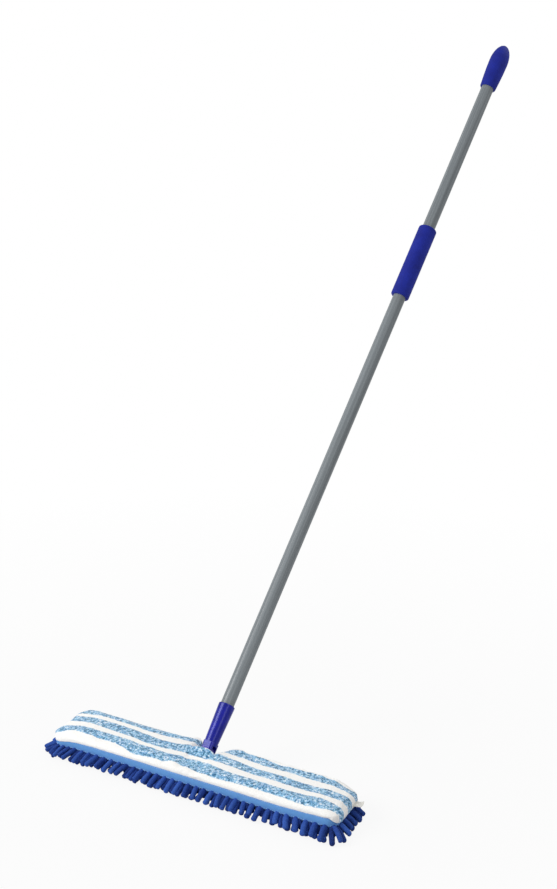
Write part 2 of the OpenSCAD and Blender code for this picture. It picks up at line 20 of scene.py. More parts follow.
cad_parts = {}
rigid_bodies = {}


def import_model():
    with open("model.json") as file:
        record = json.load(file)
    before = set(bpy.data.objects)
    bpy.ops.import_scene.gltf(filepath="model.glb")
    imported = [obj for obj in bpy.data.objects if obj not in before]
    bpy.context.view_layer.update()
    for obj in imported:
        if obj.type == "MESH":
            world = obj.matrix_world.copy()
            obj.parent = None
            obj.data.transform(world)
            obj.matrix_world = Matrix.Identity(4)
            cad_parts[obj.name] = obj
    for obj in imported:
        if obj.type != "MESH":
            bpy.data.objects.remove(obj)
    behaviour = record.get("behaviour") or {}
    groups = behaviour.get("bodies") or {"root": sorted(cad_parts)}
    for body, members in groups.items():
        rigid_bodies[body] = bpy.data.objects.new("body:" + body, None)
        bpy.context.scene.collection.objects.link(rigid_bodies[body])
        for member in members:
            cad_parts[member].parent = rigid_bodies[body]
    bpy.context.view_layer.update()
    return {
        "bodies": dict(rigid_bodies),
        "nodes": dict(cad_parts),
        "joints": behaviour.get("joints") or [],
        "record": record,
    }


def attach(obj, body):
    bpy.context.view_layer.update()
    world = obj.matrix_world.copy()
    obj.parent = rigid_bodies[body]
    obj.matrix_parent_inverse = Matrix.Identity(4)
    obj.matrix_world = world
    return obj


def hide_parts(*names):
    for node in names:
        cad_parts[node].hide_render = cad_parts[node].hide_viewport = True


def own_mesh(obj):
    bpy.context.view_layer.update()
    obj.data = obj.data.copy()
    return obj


MM = 0.001
TINY = 1e-6
POLE_LEAN_DEG = 43.5
HEAD_BODY = "head"
WHITE = "FFFFFF"
LOG = logging.getLogger("mop")

Tree = bpy.types.NodeTree
Socket = bpy.types.NodeSocket
Piece = bpy.types.Object
Faces = list[list[int]]
Place = tuple[float, float, float]
Pair = tuple[float, float]


class Side(Enum):
    """The two halves of the head, as the sign of X."""

    LEFT = -1
    RIGHT = 1


def linear(hex_code: str) -> tuple[float, float, float, float]:
    """Turns an sRGB hex colour to linear RGBA.

    Args:
        hex_code: Six hex digits, red, green and blue.

    Returns:
        The linear colour with an alpha of 1.
    """
    parts = [int(hex_code[i : i + 2], 16) / 255 for i in (0, 2, 4)]
    red, green, blue = [c / 12.92 if c <= 0.04045 else ((c + 0.055) / 1.055) ** 2.4 for c in parts]
    return red, green, blue, 1.0


def per_mm(size_mm: float) -> float:
    """Returns the texture scale, per metre, of a pattern whose repeat is size_mm."""
    return 1 / (size_mm * MM)


def band_scale(size_mm: float) -> float:
    """Returns the scale of a wave texture whose bands lie so many millimetres apart."""
    return per_mm(size_mm) * math.pi / 10


def feed(tree: Tree, node: bpy.types.Node, inputs: dict[str | int, Any]) -> None:
    """Links or sets inputs of a node.

    Args:
        tree: The node's tree.
        node: The node.
        inputs: What each input takes: a socket of another node, or a value.
    """
    for name, value in inputs.items():
        if isinstance(value, Socket):
            tree.links.new(value, node.inputs[name])
        else:
            node.inputs[name].default_value = value


def add_node(
    tree: Tree,
    kind: str,
    output: str | int,
    inputs: dict[str | int, Any] | None = None,
    ramp: Sequence[tuple[float, str]] = (),
    **settings: Any,
) -> Socket:
    """Adds one shader node with its settings, values and links.

    Args:
        tree: The tree that gets the node.
        kind: The node's type name, without the ShaderNode that it starts with.
        output: The output that is wanted.
        inputs: What each input takes: a socket of another node, or a value.
        ramp: Stops of a colour ramp, as place and hex colour.
        **settings: Attributes of the node.

    Returns:
        The wanted output.
    """
    node = tree.nodes.new("ShaderNode" + kind)
    for name, value in settings.items():
        setattr(node, name, value)
    feed(tree, node, inputs or {})
    if ramp:
        stops = node.color_ramp.elements
        while len(stops) < len(ramp):
            stops.new(0.5)
        for stop, (place, colour) in zip(stops, ramp):
            stop.position = place
            stop.color = linear(colour)
    return node.outputs[output]


def mottle(tree: Tree, at: Socket, size_mm: float, low: str, high: str, detail: float = 3) -> Socket:
    """Mixes two colours by a soft noise.

    Args:
        tree: The material's node tree.
        at: Coordinates in metres.
        size_mm: Size of the patches.
        low: Hex colour of one patch.
        high: Hex colour of the other.
        detail: Octaves of the noise.

    Returns:
        The colour.
    """
    patches = {"Vector": at, "Scale": per_mm(size_mm), "Detail": detail, "Roughness": 0.6}
    share = add_node(tree, "TexNoise", "Fac", patches)
    return add_node(tree, "ValToRGB", "Color", {"Fac": share}, [(0.35, low), (0.65, high)])


@dataclass(frozen=True)
class Finish:
    """A material that a surface was made with. A bump has its depth in millimetres, then its strength."""

    name: str
    colour: str
    roughness: float = 0.6
    gloss: float = 0.5

    def material(self) -> bpy.types.Material:
        """Makes the material on first use.

        Returns:
            The material.
        """
        known = bpy.data.materials.get(self.name)
        if known:
            return known
        material = bpy.data.materials.new(self.name)
        material.use_nodes = True
        material.diffuse_color = linear(self.colour)
        tree = material.node_tree
        shader = tree.nodes["Principled BSDF"]
        plain = {"Base Color": linear(self.colour), "Roughness": self.roughness}
        feed(tree, shader, {**plain, "Specular IOR Level": self.gloss})
        feed(tree, shader, self.paint(tree))
        return material

    def paint(self, tree: Tree) -> dict[str, Any]:
        """Makes the pattern of the finish.

        Args:
            tree: The material's node tree.

        Returns:
            What the shader's inputs take, as sockets or values.
        """
        raise NotImplementedError

    def bump(self, height: Socket, depth: Pair) -> dict[str | int, Any]:
        """Returns what a bump of that height, depth in millimetres and strength takes."""
        return {"Height": height, "Distance": depth[0] * MM, "Strength": depth[1]}


@dataclass(frozen=True)
class EvaFoam(Finish):
    """EVA foam, moulded with a closed skin: matt, with a fine cell grain and rubbed paler patches."""

    cell_mm: float = 1.4
    cell_depth: Pair = (0.25, 0.5)
    patch_mm: float = 26.0
    worn: str = "1A2996"

    def paint(self, tree: Tree) -> dict[str, Any]:
        """Paints rubbed patches and bumps the cells, drawn coarser than real so that they show.

        Args:
            tree: The material's node tree.

        Returns:
            What the shader's inputs take.
        """
        at = add_node(tree, "TexCoord", "Object")
        cells = add_node(tree, "TexVoronoi", "Distance", {"Vector": at, "Scale": per_mm(self.cell_mm)})
        return {
            "Base Color": mottle(tree, at, self.patch_mm, self.colour, self.worn),
            "Normal": add_node(tree, "Bump", "Normal", self.bump(cells, self.cell_depth)),
            "Sheen Weight": 0.03,
            "Sheen Roughness": 0.5,
        }


@dataclass(frozen=True)
class StovedEnamel(Finish):
    """Grey enamel stoved on a drawn tube: satin, with faint orange peel and long paler streaks along the
    tube.
    """

    peel_mm: float = 3.0
    peel_depth: Pair = (0.01, 0.2)
    streak_mm: float = 4.5
    streak_stretch: float = 120.0
    pale_streak: str = "838A8E"

    def paint(self, tree: Tree) -> dict[str, Any]:
        """Paints streaks along the tube, drawn wider than real so that they show, and bumps the peel.

        Args:
            tree: The material's node tree.

        Returns:
            What the shader's inputs take.
        """
        at = add_node(tree, "TexCoord", "Object")
        along = {"Rotation": (math.radians(-POLE_LEAN_DEG), 0, 0), "Scale": (1, 1, self.streak_stretch)}
        stretched = add_node(tree, "Mapping", "Vector", {"Vector": at, **along}, vector_type="TEXTURE")
        peel = add_node(tree, "TexNoise", "Fac", {"Vector": at, "Scale": per_mm(self.peel_mm), "Detail": 2})
        shine = {"Value": peel, "To Min": self.roughness - 0.06, "To Max": self.roughness + 0.1}
        return {
            # paler streaks at random along the tube
            "Base Color": mottle(tree, stretched, self.streak_mm, self.colour, self.pale_streak),
            "Normal": add_node(tree, "Bump", "Normal", self.bump(peel, self.peel_depth)),
            "Roughness": add_node(tree, "MapRange", "Result", shine),
            "Coat Weight": 0.05,
            "Coat Roughness": 0.3,
        }


@dataclass(frozen=True)
class MouldedPolypropylene(Finish):
    """Polypropylene, injection moulded against polished steel: deep gloss with faint flow clouds."""

    cloud: str = "12189A"
    flow_mm: float = 14.0
    ripple_mm: float = 9.0
    ripple_depth: Pair = (0.02, 0.15)
    coat: float = 0.15
    sheen: str = "B4B8FF"

    def paint(self, tree: Tree) -> dict[str, Any]:
        """Paints the flow clouds and bumps a slight ripple.

        Args:
            tree: The material's node tree.

        Returns:
            What the shader's inputs take.
        """
        at = add_node(tree, "TexCoord", "Object")
        swells = {"Vector": at, "Scale": per_mm(self.ripple_mm), "Detail": 1}
        ripple = add_node(tree, "TexNoise", "Fac", swells)
        return {
            "Base Color": mottle(tree, at, self.flow_mm, self.colour, self.cloud, 2),
            "Normal": add_node(tree, "Bump", "Normal", self.bump(ripple, self.ripple_depth)),
            "Coat Weight": self.coat,
            "Coat Roughness": 0.12,
            "Specular Tint": linear(self.sheen),
        }


@dataclass(frozen=True)
class FilledNylon(Finish):
    """Glass-filled nylon, moulded with a spark-eroded face: matt and finely pitted, with grey fibre bloom."""

    bloom: str = "5E6269"
    bloom_mm: float = 18.0
    pit_mm: float = 1.2
    pit_depth: Pair = (0.12, 0.5)

    def paint(self, tree: Tree) -> dict[str, Any]:
        """Paints the bloom and bumps the pits, drawn coarser than real so that they show.

        Args:
            tree: The material's node tree.

        Returns:
            What the shader's inputs take.
        """
        at = add_node(tree, "TexCoord", "Object")
        pits = add_node(tree, "TexNoise", "Fac", {"Vector": at, "Scale": per_mm(self.pit_mm), "Detail": 2})
        return {
            "Base Color": mottle(tree, at, self.bloom_mm, self.colour, self.bloom, 5),
            "Normal": add_node(tree, "Bump", "Normal", self.bump(pits, self.pit_depth)),
        }


@dataclass(frozen=True)
class ZincPlatedSteel(Finish):
    """Turned steel with bright zinc plate: metallic, with fine rings round the turning axis."""

    ring_mm: float = 0.8
    ring_depth: Pair = (0.03, 0.4)

    def paint(self, tree: Tree) -> dict[str, Any]:
        """Makes the metal and bumps the turning rings, drawn coarser than real so that they show.

        Args:
            tree: The material's node tree.

        Returns:
            What the shader's inputs take.
        """
        at = add_node(tree, "TexCoord", "Object")
        turning = {"Vector": at, "Scale": band_scale(self.ring_mm), "Distortion": 2.0}
        rings = add_node(tree, "TexWave", "Fac", turning, bands_direction="X")
        shine = {"Value": rings, "To Min": 0.24, "To Max": 0.4}
        return {
            "Normal": add_node(tree, "Bump", "Normal", self.bump(rings, self.ring_depth)),
            "Roughness": add_node(tree, "MapRange", "Result", shine),
            "Metallic": 1.0,
        }


@dataclass(frozen=True)
class TerryCloth(Finish):
    """Looped microfibre terry: a matt white pile of small loops, with painted shade between the loops, and
    speckled blue stripes knitted in.

    The mesh carries the distance to the nearest stripe's edge in its "stripe" attribute, in metres, below
    zero inside a stripe. The edges wander by a loop or two, because the yarns change loop by loop. Each noise
    has its size in millimetres, its octaves and its roughness.
    """

    loop_mm: float = 2.6
    loop_depth: Pair = (0.8, 0.55)
    fuzz: Place = (1.6, 4, 0.7)
    specks: Place = (5.2, 4, 0.8)
    wander: Place = (8.0, 3, 0.7)
    wander_mm: float = 5.0
    edge_mm: float = 0.8
    yarn_mm: float = 9.0
    # painted shade between the loops, not a colour of the yarn
    shade: str = "F4F2EE"
    stripe: str = "97CDEC"
    stripe_deep: str = "5E9FD2"
    speck: str = "135679"
    fleck: str = "EDF4F8"

    def paint(self, tree: Tree) -> dict[str, Any]:
        """Paints the pile, with painted shade between its loops, and its stripes, and bumps the loops, drawn
        a little coarse so that they show.

        Args:
            tree: The material's node tree.

        Returns:
            What the shader's inputs take.
        """
        at = add_node(tree, "TexCoord", "Object")
        pile = {"Vector": at, "Scale": per_mm(self.loop_mm), "Randomness": 0.9}
        loops = add_node(tree, "TexVoronoi", "Distance", pile)
        # painted shade: the white turns to the shade colour between the loops
        white = add_node(tree, "ValToRGB", "Color", {"Fac": loops}, [(0.15, self.colour), (0.85, self.shade)])
        noises = []
        for size, detail, rough in (self.fuzz, self.specks, self.wander):
            grain = {"Vector": at, "Scale": per_mm(size), "Detail": detail, "Roughness": rough}
            noises.append(add_node(tree, "TexNoise", "Fac", grain))
        fuzz, specks, wander = noises
        yarn = mottle(tree, at, self.yarn_mm, self.stripe_deep, self.stripe, 4)
        for low, high, colour in ((0.515, 0.575, self.speck), (0.46, 0.39, self.fleck)):
            share = add_node(tree, "MapRange", "Result", {"Value": specks, "From Min": low, "From Max": high})
            yarn = add_node(tree, "Mix", 2, {"Factor": share, 6: yarn, 7: linear(colour)}, data_type="RGBA")
        edge = add_node(tree, "Attribute", "Fac", attribute_name="stripe")
        strayed = {0: wander, 1: self.wander_mm * MM, 2: edge}
        stray = add_node(tree, "Math", "Value", strayed, operation="MULTIPLY_ADD")
        middle = self.wander_mm / 2
        span = {"From Min": (middle + self.edge_mm) * MM, "From Max": (middle - self.edge_mm) * MM}
        inside = add_node(tree, "MapRange", "Result", {"Value": stray, **span})
        height = add_node(tree, "Math", "Value", {0: loops, 1: fuzz}, operation="ADD")
        return {
            "Base Color": add_node(tree, "Mix", 2, {"Factor": inside, 6: white, 7: yarn}, data_type="RGBA"),
            "Normal": add_node(tree, "Bump", "Normal", self.bump(height, self.loop_depth)),
            "Sheen Weight": 0.3,
            "Sheen Roughness": 0.6,
        }


@dataclass(frozen=True)
class WovenTape(Finish):
    """Polyester binding tape, woven with a rib across its length: a soft satin face, with painted shade in
    the hollows between the ribs.

    Its mesh has UVs in metres, along the tape and across it.
    """

    rib_mm: float = 1.8
    rib_depth: Pair = (0.15, 0.2)
    warp_mm: float = 14.0
    # painted shade in the hollows between the ribs
    valley: str = "5A92D0"

    def paint(self, tree: Tree) -> dict[str, Any]:
        """Paints the ribs, with painted shade in the valleys between them and a random slack of the warp, and
        bumps them, drawn coarser than real so that they show.

        Args:
            tree: The material's node tree.

        Returns:
            What the shader's inputs take.
        """
        at = add_node(tree, "UVMap", "UV", uv_map="UVMap")
        weave = {"Scale": band_scale(self.rib_mm), "Distortion": 0.6, "Detail": 2.0, "Detail Scale": 3.0}
        ribs = add_node(tree, "TexWave", "Fac", {"Vector": at, **weave}, bands_direction="X")
        slack = {"Vector": at, "Scale": per_mm(self.warp_mm), "Detail": 4, "Roughness": 0.65}
        warp = add_node(tree, "TexNoise", "Fac", slack)
        level = add_node(tree, "Math", "Value", {0: ribs, 1: 0.35, 2: warp}, operation="MULTIPLY_ADD")
        # painted shade: the valley colour darkens the hollows between the ribs; the warp noise varies the
        # tone at random
        tints = [(0.4, self.valley), (0.85, self.colour)]
        return {
            "Base Color": add_node(tree, "ValToRGB", "Color", {"Fac": level}, tints),
            "Normal": add_node(tree, "Bump", "Normal", self.bump(ribs, self.rib_depth)),
            "Sheen Weight": 0.08,
        }


@dataclass(frozen=True)
class ChenilleYarn(Finish):
    """Microfibre chenille: thick soft fingers of cut pile, with painted shade where the pile parts and a
    painted highlight on the tips of its tufts.

    The mesh carries a "shade" attribute, a number for each finger, that varies the dye from finger to finger
    and also paints light and shade: fingers of the fringe's back layers get low numbers and a dark colour, as
    painted shade in the gaps between the front fingers, and those of the front layer high numbers and a paler
    colour, as if lit.
    """

    # deep and pale are painted shade and painted light, with the dye colour between them
    deep: str = "040920"
    pale: str = "3C63B8"
    bloom: str = "6F8FD8"
    pile_mm: float = 1.5
    pile_depth: Pair = (0.6, 0.6)

    def paint(self, tree: Tree) -> dict[str, Any]:
        """Paints the cut pile, darker in the hollows of its tufts as painted shade and paler on their tops as
        painted light, and bumps the tufts, drawn a little coarse so that they show.

        Args:
            tree: The material's node tree.

        Returns:
            What the shader's inputs take.
        """
        at = add_node(tree, "TexCoord", "Object")
        pile = {"Vector": at, "Scale": per_mm(self.pile_mm), "Detail": 4, "Roughness": 0.7}
        tufts = add_node(tree, "TexNoise", "Fac", pile)
        shade = add_node(tree, "Attribute", "Fac", attribute_name="shade")
        level = add_node(tree, "Math", "Value", {0: shade, 1: 0.35, 2: tufts}, operation="MULTIPLY_ADD")
        # painted light and shade: low levels take the deep colour, as shade in the tufts' hollows and on
        # back-layer fingers; high levels the pale one, as light on the tufts' tops and front fingers
        dyes = [(0.34, self.deep), (0.58, self.colour), (0.95, self.pale)]
        return {
            "Base Color": add_node(tree, "ValToRGB", "Color", {"Fac": level}, dyes),
            "Normal": add_node(tree, "Bump", "Normal", self.bump(tufts, self.pile_depth)),
            "Sheen Weight": 0.12,
            "Sheen Roughness": 0.4,
            "Sheen Tint": linear(self.bloom),
        }


@dataclass(frozen=True)
class PlainWeave(Finish):
    """Cotton cloth in plain weave: threads over and under each other, with painted shade in the gaps between
    them.
    """

    thread_mm: float = 2.4
    thread_depth: Pair = (0.3, 0.6)
    # painted shade in the gaps between the threads
    gap: str = "C9C7BF"

    def paint(self, tree: Tree) -> dict[str, Any]:
        """Paints the threads, with painted shade in the gaps between them, and bumps them, drawn coarser than
        real so that they show.

        Args:
            tree: The material's node tree.

        Returns:
            What the shader's inputs take.
        """
        at = add_node(tree, "TexCoord", "Object")
        weave = {"Vector": at, "Scale": band_scale(self.thread_mm), "Distortion": 0.8}
        warp, weft = (add_node(tree, "TexWave", "Fac", weave, bands_direction=way) for way in ("X", "Y"))
        cross = add_node(tree, "Math", "Value", {0: warp, 1: weft}, operation="MAXIMUM")
        # painted shade: the gap colour darkens the hollows where neither thread lies on top
        tints = [(0.2, self.gap), (0.75, self.colour)]
        return {
            "Base Color": add_node(tree, "ValToRGB", "Color", {"Fac": cross}, tints),
            "Normal": add_node(tree, "Bump", "Normal", self.bump(cross, self.thread_depth)),
            "Sheen Weight": 0.15,
        }


@dataclass(frozen=True)
class OpenFoam(Finish):
    """Open-cell polyurethane foam, cut from a block: pale, matt, with pores that hold shade."""

    pore: str = "BDBBAE"
    pore_mm: float = 2.2
    pore_depth: Pair = (0.6, 0.7)

    def paint(self, tree: Tree) -> dict[str, Any]:
        """Paints and bumps the pores, drawn coarser than real so that they show.

        Args:
            tree: The material's node tree.

        Returns:
            What the shader's inputs take.
        """
        at = add_node(tree, "TexCoord", "Object")
        pores = add_node(tree, "TexVoronoi", "Distance", {"Vector": at, "Scale": per_mm(self.pore_mm)})
        tints = [(0.1, self.pore), (0.5, self.colour)]
        return {
            "Base Color": add_node(tree, "ValToRGB", "Color", {"Fac": pores}, tints),
            "Normal": add_node(tree, "Bump", "Normal", self.bump(pores, self.pore_depth)),
        }


@dataclass(frozen=True)
class CutPile(Finish):
    """Nylon closure tape: a dense face of hooks or loops that breaks up the light, with painted shade at
    their roots.
    """

    # painted shade at the roots of the hooks or loops
    root: str = "1E2024"
    pitch_mm: float = 1.7
    row_depth: Pair = (0.5, 0.7)

    def paint(self, tree: Tree) -> dict[str, Any]:
        """Paints the rows of hooks or loops, with painted shade at their roots, and bumps them, drawn coarser
        than real so that they show.

        Args:
            tree: The material's node tree.

        Returns:
            What the shader's inputs take.
        """
        at = add_node(tree, "TexCoord", "Object")
        pile = {"Vector": at, "Scale": per_mm(self.pitch_mm), "Randomness": 0.35}
        rows = add_node(tree, "TexVoronoi", "Distance", pile)
        # painted shade: the root colour darkens the ground between the hooks or loops
        tints = [(0.2, self.colour), (0.8, self.root)]
        return {
            "Base Color": add_node(tree, "ValToRGB", "Color", {"Fac": rows}, tints),
            "Normal": add_node(tree, "Bump", "Normal", self.bump(rows, self.row_depth)),
        }


@dataclass(frozen=True)
class SpunThread(Finish):
    """Spun polyester sewing thread: a tight twist with a low sheen."""

    twist_mm: float = 0.9
    twist_depth: Pair = (0.1, 0.5)
    dye_mm: float = 4.0
    faded: str = "A9C3EC"

    def paint(self, tree: Tree) -> dict[str, Any]:
        """Bumps the twist of the thread and varies its dye.

        Args:
            tree: The material's node tree.

        Returns:
            What the shader's inputs take.
        """
        at = add_node(tree, "TexCoord", "Object")
        spin = {"Vector": at, "Scale": band_scale(self.twist_mm), "Distortion": 1.0}
        twist = add_node(tree, "TexWave", "Fac", spin, bands_direction="DIAGONAL")
        return {
            "Base Color": mottle(tree, at, self.dye_mm, self.colour, self.faded),
            "Normal": add_node(tree, "Bump", "Normal", self.bump(twist, self.twist_depth)),
        }


GRIP_FOAM = EvaFoam("grip_eva_foam", "152183", roughness=0.65, gloss=0.18)
POLE_ENAMEL = StovedEnamel("pole_stoved_enamel", "6E7478", roughness=0.33)
SOCKET_PLASTIC = MouldedPolypropylene("socket_polypropylene", "05137E", roughness=0.3, gloss=0.55)
SWIVEL_PLASTIC = MouldedPolypropylene("swivel_polypropylene", "5F57B8", roughness=0.24, cloud="7068C6")
PLUG_PLASTIC = MouldedPolypropylene("plug_polypropylene", "232A72", roughness=0.45, cloud="2C3485", coat=0.1)
PIN_STEEL = ZincPlatedSteel("pin_zinc_plated_steel", "B9BCC2", roughness=0.3)
FRAME_NYLON = FilledNylon("frame_filled_nylon", "4A4D54", roughness=0.7)
TERRY = TerryCloth("terry_cloth", "FBFAF8", roughness=0.95, gloss=0.2)
TAPE = WovenTape("binding_tape", "649CD8", roughness=0.75, gloss=0.3)
CHENILLE = ChenilleYarn("chenille_yarn", "1C3680", roughness=0.9, gloss=0.2)
BACKING = PlainWeave("backing_plain_weave", "E6E5E0", roughness=0.9)
TAB_CLOTH = PlainWeave("tab_plain_weave", "DEDCD5", roughness=0.9, gap="D2D0C9")
HEADER_CLOTH = PlainWeave("header_plain_weave", "1B3070", roughness=0.9, gap="0E1A48")
WADDING = OpenFoam("polyurethane_foam", "DEDCD2", roughness=0.95)
HOOK_TAPE = CutPile("hook_nylon", "4A4D54", roughness=0.7)
LOOP_TAPE = CutPile("loop_nylon", "DADADA", roughness=0.9, root="A9A9A9")
THREAD = SpunThread("spun_polyester_thread", "7FA6DE", roughness=0.7)


def make_piece(
    name: str,
    points_mm: np.ndarray,
    faces: Sequence[Sequence[int]],
    finish: Finish,
    node: str | None = None,
    attributes: dict[str, np.ndarray] | None = None,
    uv_m: np.ndarray | None = None,
) -> Piece:
    """Makes a smooth mesh piece that rides on the head.

    Args:
        name: Name of the piece.
        points_mm: Points in millimetres, one row each.
        faces: Indices of each face.
        finish: Its finish.
        node: The CAD node that it stands for, if there is one.
        attributes: Numbers for each point, by attribute name.
        uv_m: Flat place of each point in metres, where the finish needs it.

    Returns:
        The new object.
    """
    mesh = bpy.data.meshes.new(name)
    corners_m = np.asarray(points_mm, dtype=float) * MM
    mesh.from_pydata(corners_m.tolist(), [], [list(map(int, face)) for face in faces])
    mesh.polygons.foreach_set("use_smooth", [True] * len(mesh.polygons))
    for key, numbers in (attributes or {}).items():
        layer = mesh.attributes.new(key, "FLOAT", "POINT")
        layer.data.foreach_set("value", np.asarray(numbers, dtype=np.float32))
    if uv_m is not None:
        layer = mesh.uv_layers.new(name="UVMap")
        corners = np.empty(len(mesh.loops), dtype=np.int32)
        mesh.loops.foreach_get("vertex_index", corners)
        layer.data.foreach_set("uv", np.asarray(uv_m, dtype=np.float32)[corners].ravel())
    mesh.materials.append(finish.material())
    mesh.update()
    piece = bpy.data.objects.new(name, mesh)
    bpy.context.scene.collection.objects.link(piece)
    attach(piece, HEAD_BODY)
    if node:
        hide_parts(node)
    LOG.info("%s: %d points on %s", name, len(mesh.vertices), HEAD_BODY)
    return piece


def ring_faces(rings: int, count: int, first: int = 0) -> Faces:
    """Joins closed rings of points to a band of faces that look outwards.

    Args:
        rings: How many rings there are, from the lowest up.
        count: Points on each ring, against the clock.
        first: Index of the first point.

    Returns:
        The faces.
    """
    faces = []
    for low in range(first, first + (rings - 1) * count, count):
        for e in range(count):
            f = (e + 1) % count
            faces.append([low + e, low + f, low + count + f, low + count + e])
    return faces


def grid_faces(rows: int, cols: int, first: int = 0) -> Faces:
    """Joins an open grid of points to faces.

    Args:
        rows: How many rows there are.
        cols: Points in each row.
        first: Index of the first point.

    Returns:
        The faces.
    """
    faces = []
    for low in range(first, first + (rows - 1) * cols, cols):
        faces += [[low + i, low + i + 1, low + cols + i + 1, low + cols + i] for i in range(cols - 1)]
    return faces


def rims(ring: np.ndarray, normals: np.ndarray, rows: Sequence[Pair]) -> list[np.ndarray]:
    """Stacks copies of a ring, each moved inwards and lifted.

    Args:
        ring: Points of the ring in plan.
        normals: Their outward normals.
        rows: Inset and height of each copy.

    Returns:
        The copies.
    """
    return [np.column_stack([ring - normals * inset, np.full(len(ring), z)]) for inset, z in rows]


def smooth_step(value: np.ndarray | float, low: float, high: float) -> np.ndarray:
    """Rises smoothly from 0 at low to 1 at high.

    Args:
        value: The numbers to map.
        low: Where the rise starts.
        high: Where it ends.

    Returns:
        The mapped numbers.
    """
    share = np.clip((np.asarray(value, dtype=float) - low) / (high - low), 0, 1)
    return share * share * (3 - 2 * share)


def cloud(points_mm: np.ndarray, size_mm: float, seed: float = 0.0) -> np.ndarray:
    """Makes a soft noise from -1 to 1 at each point.

    Args:
        points_mm: Points in millimetres.
        size_mm: Size of the noise's swells.
        seed: Shift of the noise.

    Returns:
        One number for each point.
    """
    spots = [Vector((p[0] / size_mm + seed, p[1] / size_mm, p[2] / size_mm)) for p in points_mm]
    return np.array([noise.noise(spot) for spot in spots])


@dataclass(frozen=True)
class PhotoCamera:
    """The camera of the photograph: its place, aim and focal length in the photograph's pixels."""

    place_mm: Place = (1940.43, -2672.18, 1722.77)
    yaw_deg: float = 33.27
    pitch_deg: float = 18.08
    roll_deg: float = 0.10
    focal_px: float = 2034.0
    photo_h_px: int = 889
    sensor_mm: float = 24.0
    far_m: float = 200.0

    def build(self) -> bpy.types.Object:
        """Makes the camera and sets it for the scene.

        Returns:
            The camera object.
        """
        yaw, pitch, roll = (math.radians(a) for a in (self.yaw_deg, self.pitch_deg, self.roll_deg))
        flat = math.cos(pitch)
        ahead = Vector((-math.sin(yaw) * flat, math.cos(yaw) * flat, -math.sin(pitch)))
        level = Vector((math.cos(yaw), math.sin(yaw), 0))
        down = ahead.cross(level)
        right = level * math.cos(roll) + down * math.sin(roll)
        up = level * math.sin(roll) - down * math.cos(roll)
        lens = bpy.data.cameras.new("photo_camera")
        lens.sensor_fit = "VERTICAL"
        lens.sensor_height = self.sensor_mm
        lens.lens = self.focal_px * self.sensor_mm / self.photo_h_px
        lens.clip_end = self.far_m
        camera = bpy.data.objects.new("photo_camera", lens)
        turn = Matrix((right, up, -ahead)).transposed().to_4x4()
        camera.matrix_world = Matrix.Translation(Vector(self.place_mm) * MM) @ turn
        bpy.context.scene.collection.objects.link(camera)
        bpy.context.scene.camera = camera
        LOG.info("camera: %.1f mm lens", lens.lens)
        return camera


@dataclass(frozen=True)
class Lamp:
    """A round soft lamp: its place and width in metres, and its power in watts."""

    name: str
    place: Place
    width: float
    watts: float

    def build(self, aim: Place) -> None:
        """Makes the lamp and turns it.

        Args:
            aim: Where it shines.
        """
        lamp = bpy.data.lights.new(self.name, "AREA")
        lamp.shape = "DISK"
        lamp.size = self.width
        lamp.energy = self.watts
        holder = bpy.data.objects.new(self.name, lamp)
        holder.location = self.place
        way = Vector(aim) - Vector(self.place)
        holder.rotation_euler = way.to_track_quat("-Z", "Y").to_euler()
        bpy.context.scene.collection.objects.link(holder)


